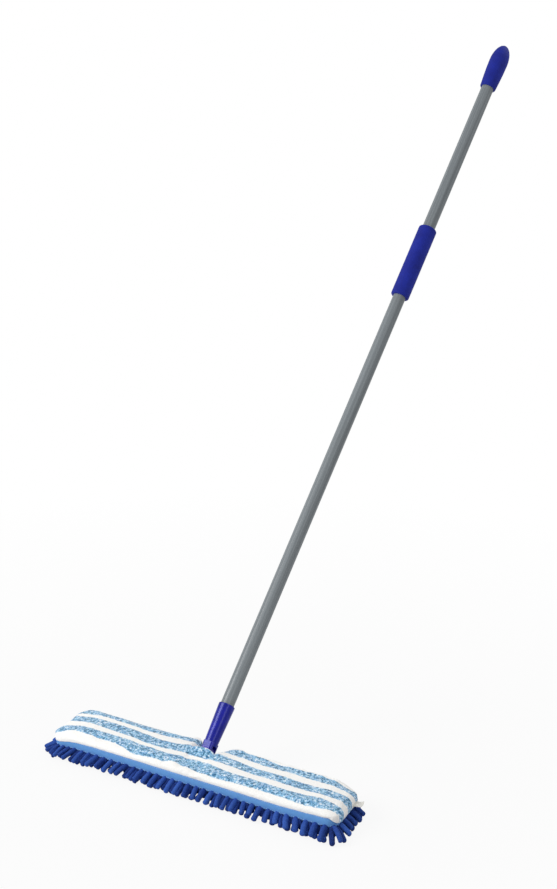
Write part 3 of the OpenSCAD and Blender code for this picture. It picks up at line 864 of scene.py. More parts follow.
@dataclass(frozen=True)
class Studio:
    """A pale floor under soft lamps and an even sky."""

    floor_m: float = 60.0
    floor_colour: str = "D6D6D6"
    floor_roughness: float = 0.9
    veil_m: Pair = (0.45, 1.6)
    veil_shares: Pair = (0.9, 1.0)
    sky: float = 0.5
    aim: Place = (0.0, 0.3, 0.35)
    lamps: tuple[Lamp, ...] = (
        Lamp("key_lamp", (-2.7, -2.8, 2.9), 3.0, 161.0),
        Lamp("fill_lamp", (3.2, -1.6, 2.2), 1.4, 14.0),
        Lamp("rim_lamp", (0.8, 3.6, 3.0), 2.4, 40.0),
    )

    def build(self) -> None:
        """Makes the floor, the sky and the lamps."""
        scene = bpy.context.scene
        scene.view_settings.view_transform = "Standard"
        self.build_floor()
        world = bpy.data.worlds.new("studio_sky")
        scene.world = world
        world.use_nodes = True
        tree = world.node_tree
        light = {"Value": self.seen_rays(tree), "To Min": self.sky, "To Max": 1.0}
        backdrop = {"Color": linear(WHITE), "Strength": add_node(tree, "MapRange", "Result", light)}
        feed(tree, tree.nodes["Background"], backdrop)
        for lamp in self.lamps:
            lamp.build(self.aim)
        LOG.info("studio: %d lamps", len(self.lamps))

    @staticmethod
    def seen_rays(tree: Tree) -> Socket:
        """Picks the rays that show the backdrop: seen, or through something clear.

        Args:
            tree: The tree that gets the nodes.

        Returns:
            A socket that is 1 for those rays.
        """
        seen = add_node(tree, "LightPath", "Is Camera Ray")
        clear = seen.node.outputs["Is Transmission Ray"]
        return add_node(tree, "Math", "Value", {0: seen, 1: clear}, operation="MAXIMUM")

    def build_floor(self) -> None:
        """Makes the floor, whose white veil leaves the object's shadow faint and thickens with distance."""
        half = self.floor_m / 2
        corners = [(-half, -half, 0), (half, -half, 0), (half, half, 0), (-half, half, 0)]
        mesh = bpy.data.meshes.new("floor")
        mesh.from_pydata(corners, [], [(0, 1, 2, 3)])
        material = bpy.data.materials.new("studio_floor")
        material.use_nodes = True
        tree = material.node_tree
        shader = tree.nodes["Principled BSDF"]
        feed(tree, shader, {"Base Color": linear(self.floor_colour), "Roughness": self.floor_roughness})
        at = add_node(tree, "TexCoord", "Object")
        away = add_node(tree, "VectorMath", "Value", {0: at}, operation="LENGTH")
        spans = dict(zip(("From Min", "From Max", "To Min", "To Max"), self.veil_m + self.veil_shares))
        thick = add_node(tree, "MapRange", "Result", {"Value": away, **spans})
        share = add_node(tree, "Math", "Value", {0: self.seen_rays(tree), 1: thick}, operation="MULTIPLY")
        veil = add_node(tree, "Emission", "Emission", {"Color": linear(WHITE), "Strength": 1.0})
        mix = add_node(tree, "MixShader", "Shader", {0: share, 1: shader.outputs["BSDF"], 2: veil})
        tree.links.new(mix, tree.nodes["Material Output"].inputs["Surface"])
        mesh.materials.append(material)
        floor = bpy.data.objects.new("floor", mesh)
        bpy.context.scene.collection.objects.link(floor)


@dataclass(frozen=True)
class RigidParts:
    """The CAD pieces that keep their own shape, with the finish that each gets."""

    finishes: tuple[tuple[str, Finish], ...] = (
        ("end_grip", GRIP_FOAM),
        ("mid_grip", GRIP_FOAM),
        ("pole_tube", POLE_ENAMEL),
        ("pole_plug", PLUG_PLASTIC),
        ("handle_socket", SOCKET_PLASTIC),
        ("cross_pin", PIN_STEEL),
        ("cross_pin_caps", SWIVEL_PLASTIC),
        ("swivel_block", SWIVEL_PLASTIC),
        ("hinge_pin", PIN_STEEL),
        ("pin_spacers", FRAME_NYLON),
        ("frame_upper", FRAME_NYLON),
        ("frame_lower", FRAME_NYLON),
    )

    def dress(self, nodes: dict[str, bpy.types.Object]) -> None:
        """Gives each piece its finish.

        Args:
            nodes: The CAD objects by name.
        """
        for name, finish in self.finishes:
            for slot in nodes[name].material_slots:
                slot.material = finish.material()
            LOG.info("%s: %s", name, finish.name)


@dataclass
class Walk:
    """A walk along straight runs and arcs, which leaves points and their outward normals behind."""

    step: float
    points: list[Pair] = field(default_factory=list)
    normals: list[Pair] = field(default_factory=list)

    def line(self, start: Pair, end: Pair) -> None:
        """Walks a straight run, without its end.

        Args:
            start: Where it starts.
            end: Where it ends.
        """
        length = math.dist(start, end)
        count = max(1, round(length / self.step))
        for i in range(count):
            self.points.append(tuple(start[k] + (end[k] - start[k]) * i / count for k in (0, 1)))
            self.normals.append(((end[1] - start[1]) / length, -(end[0] - start[0]) / length))

    def arc(self, centre: Pair, radius: float, first: float, last: float, sign: int = 1) -> None:
        """Walks an arc, without its end.

        Args:
            centre: Its centre.
            radius: Its radius.
            first: Its first angle in degrees.
            last: Its last angle.
            sign: 1, or -1 where the sleeve lies outside the arc.
        """
        count = max(4, round(abs(math.radians(last - first)) * radius / self.step))
        for i in range(count):
            turn = math.radians(first + (last - first) * i / count)
            self.points.append((centre[0] + radius * math.cos(turn), centre[1] + radius * math.sin(turn)))
            self.normals.append((sign * math.cos(turn), sign * math.sin(turn)))


@dataclass(frozen=True)
class SleevePlan:
    """The sleeve's outline in plan: a rounded oblong with a notch in the middle of its rear edge.

    Its soft ends give a little: the left one is sunk, the right one is askew and lifted in front. The runs
    are how far from its end each begins to give. The heights are those of the tape's foot, of the tape's top,
    where the terry's roll begins, and of the terry's face.
    """

    length: float = 624.0
    width: float = 116.0
    corner_r: float = 26.0
    notch_r: float = 15.0
    notch_flat: float = 4.0
    lip_r: float = 18.0
    lip_x: float = 52.0
    notch_past: float = 6.0
    head_y: float = 23.65
    hinge_back: float = 6.0
    hinge_z: float = 26.5
    tape_z: float = 19.0
    tape_in: float = 1.5
    roll_z: float = 34.0
    top_z: float = 47.0
    left_run: float = 75.0
    left_give: float = 9.0
    left_rear_share: float = 0.4
    left_sink_share: float = 0.2
    right_run: float = 120.0
    right_skew: Pair = (14.0, -8.5)
    right_lift_share: float = 0.15
    frame_in: float = 10.0
    frame_h: float = 14.0
    frame_edge_r: float = 2.0
    frame_end_x: float = 200.0
    row_share: float = 0.866
    uneven_share: float = 0.15

    @property
    def half_l(self) -> float:
        """Half the sleeve's length."""
        return self.length / 2

    @property
    def half_w(self) -> float:
        """Half the sleeve's width."""
        return self.width / 2

    @property
    def corner_x(self) -> float:
        """Distance of a corner's centre from the middle, along X."""
        return self.half_l - self.corner_r

    @property
    def corner_y(self) -> float:
        """Distance of a corner's centre from the middle, along Y."""
        return self.half_w - self.corner_r

    @property
    def frame_top(self) -> float:
        """Height of the stiff frame's upper face."""
        return self.hinge_z + self.frame_h / 2

    def flank_deg(self) -> float:
        """Works out the lean of the notch's straight flanks.

        Returns:
            The lean in degrees.
        """
        run = self.lip_x - self.notch_flat
        rise = self.half_w - self.lip_r - (self.notch_r - self.notch_past)
        reach = math.hypot(run, rise)
        return math.degrees(math.acos((self.lip_r + self.notch_r) / reach) - math.atan2(rise, run))

    def outline(self, step: float) -> tuple[np.ndarray, np.ndarray, np.ndarray]:
        """Walks round the sleeve against the clock from the front left corner.

        Args:
            step: Aim for the distance between points.

        Returns:
            The points about the head's middle, their outward normals, and the distance walked to each.
        """
        flank = self.flank_deg()
        lean = math.radians(flank)
        lip_y = self.half_w - self.lip_r
        notch_y = self.notch_r - self.notch_past
        lip_end = (self.lip_x - self.lip_r * math.cos(lean), lip_y + self.lip_r * math.sin(lean))
        notch_end = (self.notch_flat + self.notch_r * math.cos(lean), notch_y - self.notch_r * math.sin(lean))
        cx, cy, hl, hw = self.corner_x, self.corner_y, self.half_l, self.half_w
        walk = Walk(step)
        walk.line((-cx, -hw), (cx, -hw))
        walk.arc((cx, -cy), self.corner_r, -90, 0)
        walk.line((hl, -cy), (hl, cy))
        walk.arc((cx, cy), self.corner_r, 0, 90)
        walk.line((cx, hw), (self.lip_x, hw))
        walk.arc((self.lip_x, lip_y), self.lip_r, 90, 180 - flank)
        walk.line(lip_end, notch_end)
        walk.arc((self.notch_flat, notch_y), self.notch_r, -flank, -90, -1)
        walk.line((self.notch_flat, -self.notch_past), (-self.notch_flat, -self.notch_past))
        walk.arc((-self.notch_flat, notch_y), self.notch_r, -90, -180 + flank, -1)
        walk.line((-notch_end[0], notch_end[1]), (-lip_end[0], lip_end[1]))
        walk.arc((-self.lip_x, lip_y), self.lip_r, flank, 90)
        walk.line((-self.lip_x, hw), (-cx, hw))
        walk.arc((-cx, cy), self.corner_r, 90, 180)
        walk.line((-hl, cy), (-hl, -cy))
        walk.arc((-cx, -cy), self.corner_r, 180, 270)
        ring = np.array(walk.points)
        walked = np.concatenate([[0], np.cumsum(np.linalg.norm(np.diff(ring, axis=0), axis=1))])
        return ring, np.array(walk.normals), walked

    def place(self, points: np.ndarray) -> np.ndarray:
        """Moves points from the head's middle to their place in the mop, with its ends given way.

        Args:
            points: Points about the head's middle.

        Returns:
            Points in the mop.
        """
        out = np.array(points, dtype=float)
        left = smooth_step(-out[:, 0], self.half_l - self.left_run, self.half_l)
        right = smooth_step(out[:, 0], self.half_l - self.right_run, self.half_l)
        front = np.clip(0.5 - out[:, 1] / self.width, 0, 1)
        out[:, 0] += self.left_give * left * (self.left_rear_share + front)
        out[:, 0] += right * (self.right_skew[0] * front + self.right_skew[1] * (1 - front))
        out[:, 2] *= 1 - self.left_sink_share * left * front + self.right_lift_share * right * front
        out[:, 1] += self.head_y
        return out

    def clear_frame(self, points: np.ndarray, gap: float) -> np.ndarray:
        """Draws cloth over the ends of the stiff frame: points that are too near it are moved straight out.

        Args:
            points: Points in the mop.
            gap: Least distance from the frame, whose edges count as rounded.

        Returns:
            The points, clear of the frame.
        """
        from_middle = points - (0, self.head_y, self.hinge_z)
        reach = np.abs(from_middle)
        past_x = reach[:, 0] - self.corner_x
        past_y = reach[:, 1] - self.corner_y
        plan = np.column_stack([np.maximum(past_x, TINY), np.maximum(past_y, 0)])
        far = np.linalg.norm(plan, axis=1)
        inner_r = self.corner_r - self.frame_in - self.frame_edge_r
        side = far + np.minimum(np.maximum(past_x, past_y), 0) - inner_r
        rise = reach[:, 2] - self.frame_h / 2 + self.frame_edge_r
        away = np.column_stack([np.maximum(side, TINY), np.maximum(rise, 0)])
        length = np.linalg.norm(away, axis=1)
        near = length + np.minimum(np.maximum(side, rise), 0) - self.frame_edge_r
        push = np.maximum(gap - near, 0) * (reach[:, 0] > self.frame_end_x)
        way = np.column_stack([plan * (away[:, 0] / (length * far))[:, None], away[:, 1] / length])
        return points + np.sign(from_middle) * way * push[:, None]

    def notch_share(self, ring: np.ndarray) -> np.ndarray:
        """Tells the notch from the outer edge, with a blend at the lips.

        Args:
            ring: Points of the outline.

        Returns:
            For each point 1 in the notch, 0 on the outer edge.
        """
        inward = 1 - smooth_step(np.abs(ring[:, 0]), self.lip_x - self.lip_r / 2, self.lip_x + self.lip_r)
        return inward * (ring[:, 1] > -self.half_w / 2)

    def inner_points(self, ring: np.ndarray, step: float, room: float) -> np.ndarray:
        """Fills a ring with a slightly uneven grid of points.

        Args:
            ring: The closed ring that holds the points.
            step: Spacing of the points.
            room: Least distance from the ring.

        Returns:
            The points inside.
        """
        rng = np.random.default_rng(11)
        xs = np.arange(-self.half_l, self.half_l, step)
        ys = np.arange(-self.half_w, self.half_w, step * self.row_share)
        grid = np.array([(x + step / 2 * (j % 2), y) for j, y in enumerate(ys) for x in xs])
        grid += rng.uniform(-self.uneven_share, self.uneven_share, grid.shape) * step
        ahead = np.roll(ring, -1, axis=0)
        inside = np.zeros(len(grid), dtype=bool)
        for (x0, y0), (x1, y1) in zip(ring, ahead):
            if y0 == y1:
                continue
            crosses = (grid[:, 1] >= min(y0, y1)) & (grid[:, 1] < max(y0, y1))
            inside ^= crosses & (grid[:, 0] < x0 + (grid[:, 1] - y0) * (x1 - x0) / (y1 - y0))
        grid = grid[inside]
        near = np.array([np.min(np.hypot(*(ring - p).T)) for p in grid])
        return grid[near > room]

    def fill(self, ring: np.ndarray, step: float, room: float) -> tuple[np.ndarray, Faces]:
        """Triangulates a ring with points inside it.

        Args:
            ring: The closed ring, whose points come first in the result.
            step: Spacing of the points inside.
            room: Their least distance from the ring.

        Returns:
            The points and the faces.
        """
        points = np.concatenate([ring, self.inner_points(ring, step, room)])
        loop = list(range(len(ring)))
        result = delaunay_2d_cdt([Vector(p) for p in points], [], [loop], 1, 1e-5)
        origin = [ids[0] for ids in result[3]]
        return points, [[origin[i] for i in face] for face in result[2]]


@dataclass(frozen=True)
class Stripe:
    """One knitted stripe: its line and half width, and by how much they change along the head.

    The shifts move its line, the gains add to its half width. Sag is the shift just left of the notch, hump
    the shift in front of the notch. The runs tell where along the head each change sets in.
    """

    at: float
    half: float
    left_shift: float = 0.0
    left_end_shift: float = 0.0
    right_shift: float = 0.0
    right_end_shift: float = 0.0
    sag: float = 0.0
    hump: float = 0.0
    left_gain: float = 0.0
    left_end_gain: float = 0.0
    right_end_gain: float = 0.0
    left_run: ClassVar[Pair] = (20.0, 90.0)
    left_end_run: ClassVar[Pair] = (105.0, 155.0)
    left_gain_run: ClassVar[Pair] = (105.0, 170.0)
    right_run: ClassVar[Pair] = (60.0, 130.0)
    right_end_run: ClassVar[Pair] = (240.0, 316.0)
    right_gain_run: ClassVar[Pair] = (262.0, 308.0)
    sag_x: ClassVar[float] = -88.0
    sag_wide: ClassVar[float] = 50.0
    hump_start: ClassVar[Pair] = (-52.0, -22.0)
    hump_stop: ClassVar[Pair] = (20.0, 90.0)

    def line(self, x: np.ndarray) -> np.ndarray:
        """Works out where the stripe's line lies across the head.

        Args:
            x: Places along the head.

        Returns:
            The line's place at each.
        """
        return (
            self.at
            + self.left_shift * smooth_step(-x, *self.left_run)
            + self.left_end_shift * smooth_step(-x, *self.left_end_run)
            + self.right_shift * smooth_step(x, *self.right_run)
            + self.right_end_shift * smooth_step(x, *self.right_end_run)
            + self.sag * np.exp(-(((x - self.sag_x) / self.sag_wide) ** 2))
            + self.hump * smooth_step(x, *self.hump_start) * (1 - smooth_step(x, *self.hump_stop))
        )

    def half_width(self, x: np.ndarray) -> np.ndarray:
        """Works out half the stripe's width.

        Args:
            x: Places along the head.

        Returns:
            The half width at each.
        """
        return (
            self.half
            + self.left_gain * smooth_step(-x, *self.left_run)
            + self.left_end_gain * smooth_step(-x, *self.left_gain_run)
            + self.right_end_gain * smooth_step(x, *self.right_gain_run)
        )


@dataclass(frozen=True)
class StripePattern:
    """The stripes knitted into the terry, front to rear, which wander and swell as a sewn knit does.

    Each stray has its size, the size of its swells and a seed.
    """

    stripes: tuple[Stripe, ...] = (
        Stripe(
            -39.5, 13.6, left_end_shift=6.5, right_end_shift=4.0, hump=7.5,
            left_gain=2.6, left_end_gain=-4.6, right_end_gain=-5.5,
        ),
        Stripe(
            6.3, 11.2, left_shift=1.0, right_shift=-6.5, right_end_shift=3.0, sag=-9.5,
            left_gain=0.6, left_end_gain=-0.6, right_end_gain=-1.5,
        ),
        Stripe(
            43.0, 10.8, left_shift=-2.0, right_shift=-3.5, right_end_shift=-3.0,
            left_gain=1.8, left_end_gain=-0.8,
        ),
    )
    line_stray: Place = (2.6, 130.0, 4.2)
    width_stray: Place = (0.22, 85.0, 7.7)
    stray_apart: float = 3.0

    def edge_m(self, points: np.ndarray) -> np.ndarray:
        """Measures how far points are from the nearest stripe's edge.

        Args:
            points: Points about the head's middle.

        Returns:
            The distance of each in metres, below 0 inside a stripe.
        """
        x, y = points[:, 0], points[:, 1]
        edges = []
        for stripe in self.stripes:
            row = np.full(len(x), self.stray_apart * stripe.at)
            along = np.column_stack([x, row, np.zeros(len(x))])
            line = stripe.line(x) + self.line_stray[0] * cloud(along, *self.line_stray[1:])
            swell = 1 + self.width_stray[0] * cloud(along, *self.width_stray[1:])
            edges.append(np.abs(y - line) - stripe.half_width(x) * swell)
        return np.min(edges, axis=0) * MM


@dataclass(frozen=True)
class Skirt:
    """How low the terry reaches over the tape towards one end: by place along the head, and by facing."""

    side: Side
    low: float
    run: Pair
    end_low: float
    turn: Pair

    def depth(self, x: np.ndarray, facing: np.ndarray) -> np.ndarray:
        """Works out the skirt's depth.

        Args:
            x: Places along the head.
            facing: How far the edge faces along X there, from -1 to 1.

        Returns:
            The depth at each place.
        """
        by_place = self.low * smooth_step(self.side.value * x, *self.run)
        return by_place + self.end_low * smooth_step(self.side.value * facing, *self.turn)


@dataclass(frozen=True)
class TerryFace:
    """The terry face: a skirt over the tape, a rolled edge, and the face that its wadding swells.

    A hill has its place along and across the head and its height. The rear roll has its place across the
    head, its width and its height. A wave has its height, its size and a seed. The runs are along the head.
    """

    plan: SleevePlan
    pattern: StripePattern
    step: float = 2.6
    room_share: float = 0.6
    frame_gap: float = 2.0
    loop_rough: float = 0.32
    flat_wide_m: float = 0.15
    roll_in: float = 16.0
    roll_mid: float = 4.55
    roll_turns: tuple[int, ...] = (0, 12, 23, 33, 43, 52, 61, 70, 80, 90)
    skirts: tuple[Skirt, ...] = (
        Skirt(Side.RIGHT, 0.6, (60.0, 270.0), 8.5, (0.35, 0.95)),
        Skirt(Side.LEFT, 3.0, (190.0, 300.0), 3.0, (0.3, 0.95)),
    )
    skirt_shares: tuple[float, ...] = (1.0, 0.8, 0.55, 0.28)
    skirt_out: float = 2.3
    skirt_full: float = 4.0
    hang: float = 2.0
    hang_turn: Pair = (0.1, 0.8)
    hang_ease_share: float = 0.45
    notch_tight_share: float = 0.62
    notch_bulge: float = 9.0
    bulge_run: Pair = (2.0, 34.0)
    droop_shares: Pair = (0.28, 0.4)
    droop_runs: tuple[Pair, Pair] = ((250.0, 318.0), (256.0, 318.0))
    hills: tuple[Place, ...] = ((-28.0, 14.0, 6.0), (33.0, 14.0, 4.0))
    hill_wide: Pair = (24.0, 20.0)
    rear_roll: Place = (56.0, 6.0, 7.5)
    rear_start: Pair = (34.0, 70.0)
    rear_stop: Pair = (262.0, 306.0)
    waves: tuple[Place, ...] = ((1.3, 70.0, 3.1), (0.7, 24.0, 9.4))
    front_rise: float = 1.2
    front_from: float = 30.0
    front_wide: float = 28.0
    front_reach: float = 330.0
    cloth_step: float = 6.0
    pressure: float = 3.0
    cut_large_share: float = 0.018
    frames: int = 20
    swell_most: float = 3.0
    sink_most: float = 0.5
    near_count: int = 5
    near_soft: float = 0.5

    def soften(self, points: np.ndarray) -> np.ndarray:
        """Shapes the face: its ends droop, it swells by the notch, and it lies in slight hills.

        Args:
            points: Points of the plain face about the head's middle.

        Returns:
            The shaped points.
        """
        x, y, z = points.T
        roll_z = self.plan.roll_z
        rise = np.clip((z - roll_z) / (self.plan.top_z - roll_z), 0, 1)
        left, right = self.droop_runs
        drop = self.droop_shares[0] * smooth_step(-x, *left) + self.droop_shares[1] * smooth_step(x, *right)
        z = z - np.maximum(z - roll_z, 0) * drop
        for hill_x, hill_y, high in self.hills:
            away = ((x - hill_x) / self.hill_wide[0]) ** 2 + ((y - hill_y) / self.hill_wide[1]) ** 2
            z = z + high * rise * np.exp(-away)
        rear_y, rear_wide, rear_high = self.rear_roll
        rear = np.exp(-(((y - rear_y) / rear_wide) ** 2))
        rear = rear * smooth_step(x, *self.rear_start) * (1 - smooth_step(x, *self.rear_stop))
        z = z + rear_high * rise**0.5 * rear
        z = z + rise * sum(high * cloud(points, size, seed) for high, size, seed in self.waves)
        front = np.clip(-(y + self.front_from) / self.front_wide, 0, 1)
        front = front * np.clip(1 - np.abs(x) / self.front_reach, 0, 1)
        return np.column_stack([x, y, z + self.front_rise * front * rise])

    def shell(self, step: float) -> tuple[np.ndarray, Faces, int]:
        """Shapes the terry before it swells: rings from the skirt up over the roll, and the face inside.

        The skirt reaches lower at the ends. In the notch the roll is tight and bulges towards the socket.

        Args:
            step: Spacing of the points.

        Returns:
            The points about the head's middle, the faces, and how many points the lowest ring has.
        """
        ring, normals, _ = self.plan.outline(step)
        count = len(ring)
        in_notch = self.plan.notch_share(ring)
        facing = normals[:, 0] * (1 - in_notch)
        skirt = sum(part.depth(ring[:, 0], facing) for part in self.skirts)
        over = np.minimum(1, skirt / self.skirt_full)
        bulge = self.notch_bulge * in_notch * smooth_step(ring[:, 1], *self.bulge_run)
        hang = self.hang * smooth_step(facing, *self.hang_turn)
        middle, top_z = self.plan.roll_z + self.roll_mid, self.plan.top_z
        rings = []
        for share in self.skirt_shares:
            inset = self.plan.tape_in * share**2 - self.skirt_out * over * share
            inset = inset - hang * (1 - self.hang_ease_share * share**2)
            height = middle - (self.roll_mid + skirt) * share
            rings.append(np.column_stack([ring - normals * inset[:, None], height]))
        for turn in self.roll_turns:
            a = math.radians(turn)
            inset = self.roll_in * (1 - math.cos(a)) * (1 - self.notch_tight_share * in_notch)
            inset = inset - bulge * math.sin(a) ** 0.5 - hang * math.cos(a) ** 2
            height = middle + (top_z - middle) * math.sin(a)
            rings.append(np.column_stack([ring - normals * inset[:, None], np.full(count, height)]))
        flat, inner_faces = self.plan.fill(rings[-1][:, :2], step, step * self.room_share)
        inner = np.column_stack([flat[count:], np.full(len(flat) - count, top_z)])
        base = (len(rings) - 1) * count
        faces = ring_faces(len(rings), count) + [[base + i for i in face] for face in inner_faces]
        return np.concatenate(rings + [inner]), faces, count

    def swell(self, points: np.ndarray) -> np.ndarray:
        """Lets a coarse copy of the face swell as cloth over its wadding, and reads off how far it moves.

        The cloth is cut a little large and is held at its two lowest rings, so it buckles along the roll.

        Args:
            points: Points of the fine face before it is shaped.

        Returns:
            The move of each point.
        """
        coarse, faces, count = self.shell(self.cloth_step)
        start = self.soften(coarse)
        mesh = bpy.data.meshes.new("cloth_copy")
        mesh.from_pydata((start * MM).tolist(), [], faces)
        copy = bpy.data.objects.new("cloth_copy", mesh)
        scene = bpy.context.scene
        scene.collection.objects.link(copy)
        held = copy.vertex_groups.new(name="held")
        held.add(list(range(2 * count)), 1.0, "REPLACE")
        cloth = copy.modifiers.new("cloth", "CLOTH")
        cloth.settings.use_pressure = True
        cloth.settings.uniform_pressure_force = self.pressure
        cloth.settings.shrink_min = -self.cut_large_share
        cloth.settings.vertex_group_mass = "held"
        cloth.settings.effector_weights.gravity = 0
        cloth.point_cache.frame_end = self.frames
        for frame in range(1, self.frames + 1):
            scene.frame_set(frame)
        swollen = copy.evaluated_get(bpy.context.evaluated_depsgraph_get()).to_mesh()
        moved, outward = np.empty(3 * len(coarse)), np.empty(3 * len(coarse))
        swollen.vertices.foreach_get("co", moved)
        mesh.vertices.foreach_get("normal", outward)
        moves, outward = moved.reshape(-1, 3) / MM - start, outward.reshape(-1, 3)
        sunk = np.maximum(0, -np.sum(moves * outward, axis=1) - self.sink_most)
        moves += outward * sunk[:, None]
        scene.frame_set(1)
        bpy.data.objects.remove(copy)
        bpy.data.meshes.remove(mesh)
        far = np.linalg.norm(moves, axis=1, keepdims=True)
        moves *= np.minimum(1, self.swell_most / np.maximum(far, TINY))
        tree = KDTree(len(coarse))
        for index, point in enumerate(coarse):
            tree.insert(point, index)
        tree.balance()
        out = np.zeros_like(points)
        for row, point in enumerate(points):
            near = tree.find_n(point, self.near_count)
            weights = np.array([1 / (gap + self.near_soft) for _, _, gap in near])
            out[row] = weights @ moves[[index for _, index, _ in near]] / weights.sum()
        LOG.info("cloth: moves %.1f mm on average", float(np.linalg.norm(out, axis=1).mean()))
        return out

    def build(self) -> Piece:
        """Builds the terry face as one cloth shell open below.

        Returns:
            The piece.
        """
        points, faces, count = self.shell(self.step)
        stripe = self.pattern.edge_m(points)
        shaped = self.soften(points)
        shaped += self.swell(points)
        loops = np.random.default_rng(5).uniform(-self.loop_rough, self.loop_rough, shaped.shape)
        loops[: 2 * count] = 0
        placed = self.plan.clear_frame(self.plan.place(shaped + loops), self.frame_gap)
        piece = make_piece("terry_cover", placed, faces, TERRY, "terry_face", {"stripe": stripe})
        return piece


@dataclass(frozen=True)
class NotchLip:
    """The cloth lip at the bottom of the notch, which leans on the fork.

    Its path, as places across the head and heights, climbs from the face over the crest. Its sides are drawn
    forward and down to the face. Its stripe shifts to the rear as the cloth climbs.
    """

    plan: SleevePlan
    pattern: StripePattern
    half: float = 36.0
    rows: int = 24
    cols: int = 48
    path: tuple[Pair, ...] = (
        (-17.0, 46.4), (-10.0, 48.6), (-3.0, 52.4), (3.5, 56.4),
        (8.6, 60.0), (11.4, 61.2), (12.4, 60.0), (10.6, 57.0),
    )
    foot_z: float = 43.5
    side_power: float = 2.6
    side_draw: float = 3.0
    wave: Place = (0.5, 14.0, 2.2)
    stripe_climb: float = 4.5
    stripe_shift: float = 2.8
    shift_most: float = 2.0
    loop_rough: float = 0.25
    flat_wide_m: float = 0.072
    fold_from: Place = (0.0, -50.6, 29.5)
    fold_way: Place = (0, 0.9, 0.436)
    fold_keep: float = 0.02

    def build(self) -> Piece:
        """Builds the lip.

        Returns:
            The piece.
        """
        knots = np.array(self.path)
        share, along = np.linspace(0, 1, len(knots)), np.linspace(0, 1, self.rows)
        ys, zs = (np.interp(along, share, knots[:, k]) for k in (0, 1))
        points = []
        for y, z in zip(ys, zs):
            for u in np.linspace(-1, 1, self.cols):
                edge = abs(u) ** self.side_power
                points.append((self.half * u, y - self.side_draw * edge, z - edge * (z - self.foot_z)))
        shape = np.array(points)
        shape[:, 2] += self.wave[0] * cloud(shape, *self.wave[1:])
        climbed = np.clip((shape[:, 2] - self.plan.top_z) / self.stripe_climb, 0, self.shift_most)
        stripe = self.pattern.edge_m(shape + np.outer(climbed, (0, self.stripe_shift, 0)))
        shape += np.random.default_rng(6).uniform(-self.loop_rough, self.loop_rough, shape.shape)
        placed, faces = self.plan.place(shape), grid_faces(self.rows, self.cols)
        piece = make_piece("notch_lip", placed, faces, TERRY, attributes={"stripe": stripe})
        anchor = self.plan.place(np.array([self.fold_from]))[0] * MM
        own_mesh(piece)
        return piece


@dataclass(frozen=True)
class SideTape:
    """The woven tape round the side, with openings for the hinge pin's spacers."""

    plan: SleevePlan
    step: float = 2.6
    rows: int = 8
    lap: float = 0.6
    sunk: float = 0.2
    belly: float = 0.9
    swell_mm: float = 42.0
    swell_seed: float = 6.0
    swell_out: float = 0.15
    swell_up: float = 0.25
    opening_r: float = 6.6
    frame_gap: float = 1.3
    flat_wide_m: float = 0.0164

    def build(self) -> Piece:
        """Builds the tape, with its flat place as UVs.

        Returns:
            The piece.
        """
        plan = self.plan
        ring, normals, walked = plan.outline(self.step)
        count = len(ring)
        points, flat = [], []
        swell = cloud(np.column_stack([ring, np.zeros(count)]), self.swell_mm, self.swell_seed)
        for share in np.linspace(0, 1, self.rows):
            z = plan.tape_z - self.lap + (plan.roll_z + 2 * self.lap - plan.tape_z) * share
            belly = self.belly * math.sin(math.pi * share)
            out = -plan.tape_in - self.sunk + belly + self.swell_out * swell
            height = np.full(count, z) + self.swell_up * swell
            points.append(np.column_stack([ring + normals * out[:, None], height]))
            flat.append(np.column_stack([walked * MM, np.full(count, z * MM)]))
        shape = np.concatenate(points)
        faces = []
        for face in ring_faces(self.rows, count):
            x, y, z = shape[face].mean(axis=0)
            by_pin = math.hypot(y - plan.hinge_back, z - plan.hinge_z) < self.opening_r
            if not (by_pin and abs(x) < plan.lip_x):
                faces.append(face)
        placed, uv_m = plan.clear_frame(plan.place(shape), self.frame_gap), np.concatenate(flat)
        piece = make_piece("binding_tape", placed, faces, TAPE, "edge_tape", uv_m=uv_m)
        return piece


@dataclass(frozen=True)
class TapeStitches:
    """Two rows of lockstitch along the tape's edges, each stitch a short pinched bead.

    Corners are those of a bead's section. Girths give the place along the bead and the thickness there.
    """

    plan: SleevePlan
    walk_step: float = 0.7
    pitch: float = 4.4
    length: float = 3.1
    thick: float = 0.42
    edge_in: float = 1.7
    proud: float = 0.35
    notch_x: float = 24.0
    notch_y: float = -8.0
    corners: tuple[Pair, ...] = ((1, 0), (0.3, 0.9), (-0.8, 0.5), (-0.8, -0.5), (0.3, -0.9))
    girths: tuple[Pair, ...] = ((-0.5, 0.35), (-0.25, 0.95), (0.25, 0.95), (0.5, 0.35))

    def build(self) -> Piece:
        """Builds the stitches, leaving out the bottom of the notch.

        Returns:
            The piece.
        """
        ring, normals, walked = self.plan.outline(self.walk_step)
        up = np.array([0, 0, 1])
        sides = len(self.corners)
        points: list[np.ndarray] = []
        faces: Faces = []
        for z in (self.plan.tape_z + self.edge_in, self.plan.roll_z - self.edge_in):
            for start in np.arange(0, walked[-1] - self.pitch, self.pitch):
                i = min(int(np.searchsorted(walked, start + self.length / 2)), len(ring) - 1)
                x, y = ring[i] + normals[i] * (-self.plan.tape_in + self.proud)
                if abs(x) < self.notch_x and y > self.notch_y:
                    continue
                along = np.array([-normals[i][1], normals[i][0], 0])
                out = np.array([normals[i][0], normals[i][1], 0])
                first = len(points)
                for share, girth in self.girths:
                    middle = np.array([x, y, z]) + along * self.length * share
                    thick = self.thick * girth
                    points += [middle + out * thick * ca + up * thick * sa for ca, sa in self.corners]
                faces += ring_faces(len(self.girths), sides, first)
                faces.append([first + e for e in reversed(range(sides))])
                faces.append([len(points) - sides + e for e in range(sides)])
        return make_piece("tape_stitches", self.plan.place(np.array(points)), faces, THREAD)


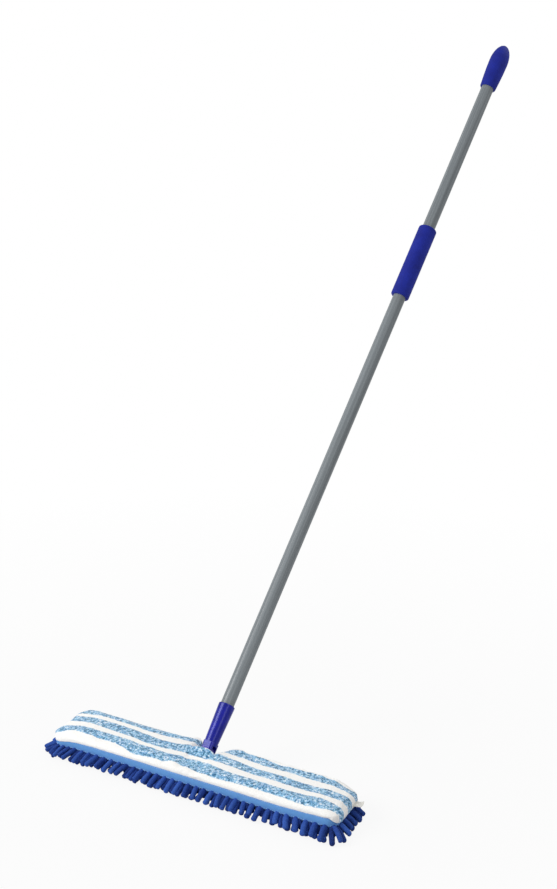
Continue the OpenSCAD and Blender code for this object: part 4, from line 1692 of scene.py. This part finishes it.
@dataclass(frozen=True)
class Wadding:
    """The foam under the terry face, crowned between its edges.

    The edge rows give how much further in than the frame each row lies, and its height.
    """

    plan: SleevePlan
    step: float = 7.0
    fill_step: float = 9.0
    fill_room: float = 5.0
    lift: float = 0.4
    edge_rows: tuple[Pair, ...] = ((-0.4, 36.5), (0.6, 39.0), (3.0, 41.2), (7.0, 42.6))
    top_z: float = 42.9
    thick: float = 9.0
    droop_shares: Pair = (0.55, 0.5)
    droop_runs: tuple[Pair, Pair] = ((245.0, 306.0), (250.0, 306.0))
    sag: float = 0.6
    sag_mm: float = 60.0
    sag_seed: float = 3.1
    fill_share: float = 0.7

    def build(self) -> Piece:
        """Builds the foam as a closed pad.

        Returns:
            The piece.
        """
        plan = self.plan
        ring, normals, _ = plan.outline(self.step)
        count = len(ring)
        floor_z = plan.frame_top + self.lift
        rows = [(plan.frame_in, floor_z)] + [(plan.frame_in + more, z) for more, z in self.edge_rows]
        shell = rims(ring, normals, rows)
        upper, upper_faces = plan.fill(shell[-1][:, :2], self.fill_step, self.fill_room)
        under, under_faces = plan.fill(shell[0][:, :2], self.fill_step, self.fill_room)
        top = np.column_stack([upper[count:], np.full(len(upper) - count, self.top_z)])
        floor = np.column_stack([under[count:], np.full(len(under) - count, floor_z)])
        points = np.concatenate(shell + [top, floor])
        base, first = (len(rows) - 1) * count, len(points) - len(floor)
        faces = ring_faces(len(rows), count) + [[base + i for i in face] for face in upper_faces]
        faces += [[i if i < count else first + i - count for i in reversed(face)] for face in under_faces]
        x, above = points[:, 0], points[:, 2] - plan.roll_z
        share = np.clip(above / self.thick, 0, 1)
        left, right = self.droop_runs
        drop = self.droop_shares[0] * smooth_step(-x, *left) + self.droop_shares[1] * smooth_step(x, *right)
        sag = self.sag * (1 + cloud(points, self.sag_mm, self.sag_seed))
        points[:, 2] -= share * drop * above + share * sag
        piece = make_piece("foam_wadding", plan.place(points), faces, WADDING, "top_wadding")
        return piece


@dataclass(frozen=True)
class BackingSheet:
    """The woven cloth that the pile is sewn to, in slight waves of a height, a size and a seed."""

    plan: SleevePlan
    step: float = 5.0
    inset: float = 9.3
    fill_step: float = 7.0
    fill_room: float = 4.0
    height: float = 18.0
    wave: Place = (0.25, 35.0, 1.7)
    flat_wide_m: float = 0.0975

    def build(self) -> Piece:
        """Builds the cloth, facing down.

        Returns:
            The piece.
        """
        ring, normals, _ = self.plan.outline(self.step)
        spots, faces = self.plan.fill(ring - normals * self.inset, self.fill_step, self.fill_room)
        level = np.column_stack([spots, np.zeros(len(spots))])
        height = self.height + self.wave[0] * cloud(level, *self.wave[1:])
        placed = self.plan.place(np.column_stack([spots, height]))
        downward = [face[::-1] for face in faces]
        piece = make_piece("backing_sheet", placed, downward, BACKING, "backing_cloth")
        return piece


@dataclass(frozen=True)
class ClosureStrips:
    """One set of closure strips inside the rear edge, a strip on each side of the notch."""

    plan: SleevePlan
    name: str
    node: str
    depth: float
    finish: Finish
    slot: str
    cols: int = 118
    rows: int = 7
    near_x: float = 53.0
    far_x: float = 285.0
    low_z: float = 21.2
    high_z: float = 31.8
    thick: float = 0.9
    edge_thin: float = 0.25
    knot: float = 0.12
    flat_wide_m: float = 0.0106

    def build(self) -> Piece:
        """Builds the strips, each as an outer and an inner layer of small knots.

        Returns:
            The piece.
        """
        length, width = self.far_x - self.near_x, self.high_z - self.low_z
        last_row, last_col = self.rows - 1, self.cols - 1
        points, faces = [], []
        for side in Side:
            for layer in (0, 1):
                turned = (layer == 0) == (side is Side.RIGHT)
                faces += [q[::-1] if turned else q for q in grid_faces(self.rows, self.cols, len(points))]
                for j in range(self.rows):
                    for i in range(self.cols):
                        edge = self.edge_thin if i in (0, last_col) or j in (0, last_row) else 0.0
                        knot = self.knot * ((i + j) % 2)
                        x = side.value * (self.near_x + length * i / last_col)
                        y = self.plan.half_w - self.depth - (self.thick - edge - knot if layer else edge)
                        points.append((x, y, self.low_z + width * j / last_row))
        piece = make_piece(
            self.name, self.plan.place(np.array(points)), faces, self.finish, self.node
        )
        return piece


@dataclass(frozen=True)
class PullTab:
    """The bare cloth tab at the right-hand end, folded double with a soft curl."""

    plan: SleevePlan
    cols: int = 22
    rows: int = 16
    width: float = 21.0
    reach: float = 20.5
    root_x: float = 310.8
    from_corner: float = 6.0
    round_in: float = 2.2
    round_from_share: float = 0.6
    taper_share: float = 0.06
    thick: float = 0.95
    lift: float = 3.0
    curl: float = 4.0
    curl_shares: Pair = (0.7, 0.3)
    ripple: float = 0.5
    flat_wide_m: float = 0.021

    def build(self) -> Piece:
        """Builds the two layers of the tab, which meet at its edges.

        Returns:
            The piece.
        """
        middle_y = self.plan.corner_y - self.from_corner
        root_z = self.plan.hinge_z
        points, faces = [], []
        for layer in (-1, 1):
            faces += [q[::-1] if layer > 0 else q for q in grid_faces(self.cols, self.rows, len(points))]
            for u in np.linspace(0, 1, self.cols):
                for v in np.linspace(-1, 1, self.rows):
                    rounded = max(0.0, abs(v) - self.round_from_share) / (1 - self.round_from_share)
                    swell = self.thick * (1 - u**6) ** 0.5 * (1 - abs(v) ** 8) ** 0.5
                    curl = self.curl * u * u * (self.curl_shares[0] + self.curl_shares[1] * v)
                    curl += self.lift + self.ripple * math.sin(5 * u + 2 * v)
                    x = self.root_x + u * (self.reach - self.round_in * rounded)
                    y = middle_y + v * self.width / 2 * (1 - self.taper_share * u)
                    points.append((x, y, root_z + curl + layer * swell))
        placed = self.plan.place(np.array(points))
        piece = make_piece("cloth_tab", placed, faces, TAB_CLOTH, "pull_tab")
        return piece


@dataclass(frozen=True)
class Sleeve:
    """The cloth sleeve: terry face, tape, backing, wadding, closure strips and pull tab."""

    plan: SleevePlan
    pattern: StripePattern = StripePattern()
    hook_depth: float = 3.6
    loop_depth: float = 4.8

    def build(self) -> None:
        """Builds every cloth piece of the sleeve."""
        plan = self.plan
        TerryFace(plan, self.pattern).build()
        NotchLip(plan, self.pattern).build()
        SideTape(plan).build()
        TapeStitches(plan).build()
        Wadding(plan).build()
        BackingSheet(plan).build()
        ClosureStrips(plan, "hook_strips", "closure_hook", self.hook_depth, HOOK_TAPE, "hook_tape").build()
        ClosureStrips(plan, "loop_strips", "closure_loop", self.loop_depth, LOOP_TAPE, "loop_tape").build()
        PullTab(plan).build()


@dataclass
class Fingers:
    """A batch of chenille fingers, each a bent tube with a round tip."""

    sides: int = 12
    shaft: int = 6
    seed: int = 3
    tip_turns: tuple[int, ...] = (0, 20, 40, 58, 74, 86)
    tip_share: float = 0.8
    tip_most_share: float = 0.6
    waist_share: float = 0.9
    fuzz_share: float = 0.09
    curves: list[np.ndarray] = field(default_factory=list)
    radii: list[float] = field(default_factory=list)
    shades: list[float] = field(default_factory=list)

    def add(self, curve: Sequence[Sequence[float]], radius: float, shade: float) -> None:
        """Adds a finger.

        Args:
            curve: Four points that steer its centre line, from its root to its tip.
            radius: Its radius.
            shade: How pale it is painted, from 0 to 1: its dye, and in the fringe's layers also painted light
                and shade.
        """
        self.curves.append(np.asarray(curve, dtype=float))
        self.radii.append(radius)
        self.shades.append(shade)

    def mesh(self, side_on: Place) -> tuple[np.ndarray, Faces, np.ndarray]:
        """Makes the tubes.

        Args:
            side_on: A direction that no finger runs along.

        Returns:
            The points, the faces, and each point's shade.
        """
        rng = np.random.default_rng(self.seed)
        steer = np.array(self.curves)
        radius = np.array(self.radii)
        length = np.linalg.norm(np.diff(steer, axis=1), axis=2).sum(axis=1)
        rings = self.shaft + len(self.tip_turns)
        share = np.empty((len(steer), rings))
        girth = np.empty((len(steer), rings))
        cap = np.minimum(self.tip_share * radius / length, self.tip_most_share)
        for k in range(self.shaft):
            share[:, k] = (1 - cap) * k / self.shaft
            girth[:, k] = self.waist_share + (1 - self.waist_share) * math.sin(math.pi * k / self.shaft)
        for k, turn in enumerate(self.tip_turns, self.shaft):
            share[:, k] = 1 - cap * (1 - math.sin(math.radians(turn)))
            girth[:, k] = math.cos(math.radians(turn))
        t = share[:, :, None]
        p0, p1, p2, p3 = (steer[:, k][:, None, :] for k in range(4))
        line = (1 - t) ** 3 * p0 + 3 * (1 - t) ** 2 * t * p1 + 3 * (1 - t) * t**2 * p2 + t**3 * p3
        way = 3 * (1 - t) ** 2 * (p1 - p0) + 6 * (1 - t) * t * (p2 - p1) + 3 * t**2 * (p3 - p2)
        way /= np.linalg.norm(way, axis=2, keepdims=True)
        across = np.cross(way, np.array(side_on))
        across /= np.linalg.norm(across, axis=2, keepdims=True)
        over = np.cross(across, way)
        turn = np.linspace(0, 2 * math.pi, self.sides, endpoint=False)
        fuzz = 1 + rng.uniform(-self.fuzz_share, self.fuzz_share, (len(steer), rings, self.sides))
        reach = (radius[:, None] * girth)[:, :, None] * fuzz
        circle = across[:, :, None, :] * np.cos(turn)[:, None] + over[:, :, None, :] * np.sin(turn)[:, None]
        points = line[:, :, None, :] + circle * reach[..., None]
        per = rings * self.sides
        faces: Faces = []
        for first in range(0, len(steer) * per, per):
            faces += ring_faces(rings, self.sides, first)
            faces.append([first + e for e in reversed(range(self.sides))])
            faces.append([first + per - self.sides + e for e in range(self.sides)])
        return points.reshape(-1, 3), faces, np.repeat(np.array(self.shades), per)


@dataclass(frozen=True)
class FringeLayer:
    """One layer of fringe: its spacing, how low its roots are, its reach, its dye with painted shade, and its
    tips' lift.
    """

    pitch_share: float
    drop: float
    reach_share: float
    shades: Pair
    tip_lift: Pair | None = None


@dataclass(frozen=True)
class Pile:
    """The chenille underside and the fringe that shows all round it.

    The shares of an end are what a finger's reach gains at its front corner and loses on the end itself.
    Those of a knee and a bend are of the reach and of the lean. The front lean is that in the middle, and
    its change along the head. The header's rows are insets and heights.
    """

    plan: SleevePlan
    radius: float = 4.9
    pitch: float = 10.6
    root_z: float = 17.4
    # painted light and shade: the front layer's fingers are painted pale as if lit, the lower layer's darker,
    # and the short third layer near black, a filler that stands in for the shadow in the gaps between the
    # fingers
    layers: tuple[FringeLayer, ...] = (
        FringeLayer(1.62, 0.0, 1.0, (0.4, 1.0), (0.5, 4.0)),
        FringeLayer(1.4, 6.0, 0.9, (0.05, 0.4)),
        FringeLayer(0.95, 3.0, 0.2, (0.0, 0.05)),
    )
    walk_step: float = 0.8
    lip_room: float = 2.0
    front_strip: float = 30.0
    reach: float = 24.5
    reach_shares: Pair = (0.78, 1.1)
    left_end_shares: Pair = (0.1, 0.45)
    right_end_shares: Pair = (0.62, 0.22)
    root_in: float = 5.5
    root_lift: float = 0.6
    root_drop_share: float = 0.6
    stray: float = 3.2
    front_lean: Pair = (1.5, 0.034)
    knee_shares: Pair = (0.22, 0.15)
    bend_shares: Pair = (0.66, 0.6)
    knee_lift: float = 1.6
    knee_sink: Pair = (0.0, 2.4)
    tip_lift: float = 0.4
    radius_shares: Pair = (0.92, 1.06)
    header_step: float = 4.0
    header_rows: tuple[Pair, ...] = (
        (2.0, 18.9), (1.7, 17.8), (2.6, 16.9), (5.4, 16.5), (8.4, 16.8), (9.6, 17.9),
    )
    header_flat_wide_m: float = 0.0105
    under_in: float = 9.3
    under_corner_r: float = 24.0
    under_pitch_share: float = 1.08
    under_row_share: float = 0.88
    under_start: Pair = (4.0, 3.5)
    under_stop: float = 2.0
    under_apart: float = 0.6
    under_stray: float = 2.0
    under_bend: float = 1.3
    under_thirds: Pair = (0.67, 0.33)
    under_tip_z: Pair = (0.15, 1.4)
    under_radius_shares: Pair = (0.88, 1.04)
    under_shades: Pair = (0.1, 0.85)
    floor_z: float = 0.05

    def stations(self, step: float) -> tuple[np.ndarray, np.ndarray]:
        """Walks round the outer edge in even steps, leaving out the notch.

        Args:
            step: Distance between the stations.

        Returns:
            Points on the sleeve's edge and their outward normals.
        """
        ring, normals, walked = self.plan.outline(self.walk_step)
        spots = [int(np.searchsorted(walked, s)) for s in np.arange(step / 2, walked[-1], step)]
        side_x, front_y = self.plan.lip_x + self.lip_room, -self.plan.half_w + self.front_strip
        keep = [i for i in spots if not (abs(ring[i][0]) < side_x and ring[i][1] > front_y)]
        return ring[keep], normals[keep]

    def fringe_part(self, spot: np.ndarray) -> str:
        """Finds the CAD fringe that a place on the edge belongs to.

        Args:
            spot: The place.

        Returns:
            The node's name.
        """
        x, y = spot
        if abs(x) > self.plan.corner_x:
            return "right_fringe" if x > 0 else "left_fringe"
        if y < 0:
            return "front_fringe"
        return "rear_fringe_right" if x > 0 else "rear_fringe_left"

    def end_share(self, spot: np.ndarray, normal: np.ndarray) -> float:
        """Shortens the fingers on the ends and lengthens those at the front corners.

        Args:
            spot: A place on the edge.
            normal: The outward normal there.

        Returns:
            The share of its full reach that a finger has.
        """
        if abs(spot[0]) <= self.plan.corner_x:
            return 1.0
        gain, loss = self.left_end_shares if spot[0] < 0 else self.right_end_shares
        corner = -2 * normal[1] * abs(normal[0])
        return 1 + gain * corner - loss * abs(normal[0]) ** 3

    def fringe_finger(
        self, rng: np.random.Generator, layer: FringeLayer, spot: np.ndarray, normal: np.ndarray
    ) -> tuple[list[np.ndarray], float, float]:
        """Bends one finger of the fringe from its root over the edge to the floor.

        Args:
            rng: Source of its chances.
            layer: The layer that it belongs to.
            spot: The place on the edge where it hangs.
            normal: The outward normal there.

        Returns:
            The curve, the radius and the shade.
        """
        out = np.array([normal[0], normal[1], 0.0])
        along = np.array([-normal[1], normal[0], 0.0])
        up = np.array([0.0, 0.0, 1.0])
        edge = np.array([spot[0], spot[1], 0.0])
        reach = self.reach * layer.reach_share * rng.uniform(*self.reach_shares)
        reach *= self.end_share(spot, normal)
        lean = rng.normal(0, self.stray)
        if self.fringe_part(spot) == "front_fringe":
            lean += self.front_lean[0] + self.front_lean[1] * spot[0]
        tip_z = self.radius + self.tip_lift + (rng.uniform(*layer.tip_lift) if layer.tip_lift else 0.0)
        knee_z = self.root_z + self.knee_lift - layer.drop - rng.uniform(*self.knee_sink)
        root_z = self.root_z + self.root_lift - layer.drop * self.root_drop_share
        (knee_out, knee_lean), (bend_out, bend_lean) = self.knee_shares, self.bend_shares
        curve = [
            edge - out * self.root_in + up * root_z,
            edge + out * reach * knee_out + along * lean * knee_lean + up * knee_z,
            edge + out * reach * bend_out + along * lean * bend_lean + up * (knee_z + tip_z) / 2,
            edge + out * reach + along * lean + up * tip_z,
        ]
        shade = rng.uniform(*layer.shades)
        return curve, self.radius * rng.uniform(*self.radius_shares), shade

    def fringe(self) -> None:
        """Builds the five lengths of fringe: three uneven layers of fingers under a woven header, painted
        paler in front as light and darker behind as shade.
        """
        rng = np.random.default_rng(21)
        parts: dict[str, Fingers] = {}
        for layer in self.layers:
            for spot, normal in zip(*self.stations(self.pitch * layer.pitch_share)):
                batch = parts.setdefault(self.fringe_part(spot), Fingers(seed=30 + len(parts)))
                batch.add(*self.fringe_finger(rng, layer, spot, normal))
        for part, batch in sorted(parts.items()):
            points, faces, shades = batch.mesh((0, 0, 1))
            name = part.replace("_fringe", "_fingers")
            make_piece(name, self.plan.place(points), faces, CHENILLE, part, {"shade": shades})

    def header(self) -> Piece:
        """Builds the woven header that the fringe is sewn into, between the tape and the backing.

        Returns:
            The piece.
        """
        ring, normals, _ = self.plan.outline(self.header_step)
        shape = np.concatenate(rims(ring, normals, self.header_rows))
        faces = [face[::-1] for face in ring_faces(len(self.header_rows), len(ring))]
        piece = make_piece("fringe_header", self.plan.place(shape), faces, HEADER_CLOTH)
        return piece

    def underside(self) -> None:
        """Builds the pile under both ends and in front of the notch."""
        rng = np.random.default_rng(8)
        plan = self.plan
        half_l, half_w = plan.half_l - self.under_in, plan.half_w - self.under_in
        corner_x, corner_y = plan.corner_x - self.under_in, plan.corner_y - self.under_in
        front_x, front_y = plan.lip_x - self.under_apart, -plan.notch_past - self.under_in
        step = self.pitch * self.under_pitch_share
        start_x, start_y = self.under_start
        more, less = self.under_thirds
        for node, x0, x1, y1 in (
            ("under_pile_left", -half_l, -plan.lip_x, half_w),
            ("under_pile_right", plan.lip_x, half_l, half_w),
            ("under_pile_front", -front_x, front_x, front_y),
        ):
            batch = Fingers(shaft=4, seed=50 + len(node))
            rows = np.arange(-half_w + start_y, y1 - self.under_stop, step * self.under_row_share)
            for j, y in enumerate(rows):
                for x in np.arange(x0 + start_x + (step / 2) * (j % 2), x1 - self.under_stop, step):
                    past_x, past_y = abs(x) - corner_x, max(0.0, abs(y) - corner_y)
                    if past_x > 0 and math.hypot(past_x, past_y) > self.under_corner_r:
                        continue
                    lean = rng.normal(0, self.under_stray, 2)
                    root = np.array([x, y, self.root_z])
                    foot = np.array([x + lean[0], y + lean[1], rng.uniform(*self.under_tip_z)])
                    bend = rng.normal(0, self.under_bend, 3) * np.array([1, 1, 0])
                    curve = [root, root * more + foot * less + bend, root * less + foot * more + bend, foot]
                    radius = self.radius * rng.uniform(*self.under_radius_shares)
                    batch.add(curve, radius, rng.uniform(*self.under_shades))
            points, faces, shades = batch.mesh((0, 1, 0))
            points[:, 2] = np.maximum(points[:, 2], self.floor_z)
            name = node.replace("under_pile", "under_fingers")
            make_piece(name, plan.place(points), faces, CHENILLE, node, {"shade": shades})

    def build(self) -> None:
        """Builds the fringe, its header and the underside."""
        self.fringe()
        self.header()
        self.underside()


def main() -> None:
    """Builds the scene: camera, studio, rigid parts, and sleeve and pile."""
    logging.basicConfig(level=logging.INFO, format="%(name)s %(message)s")
    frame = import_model()
    PhotoCamera().build()
    Studio().build()
    RigidParts().dress(frame["nodes"])
    plan = SleevePlan()
    Sleeve(plan).build()
    Pile(plan).build()


if __name__ == "__main__":
    main()
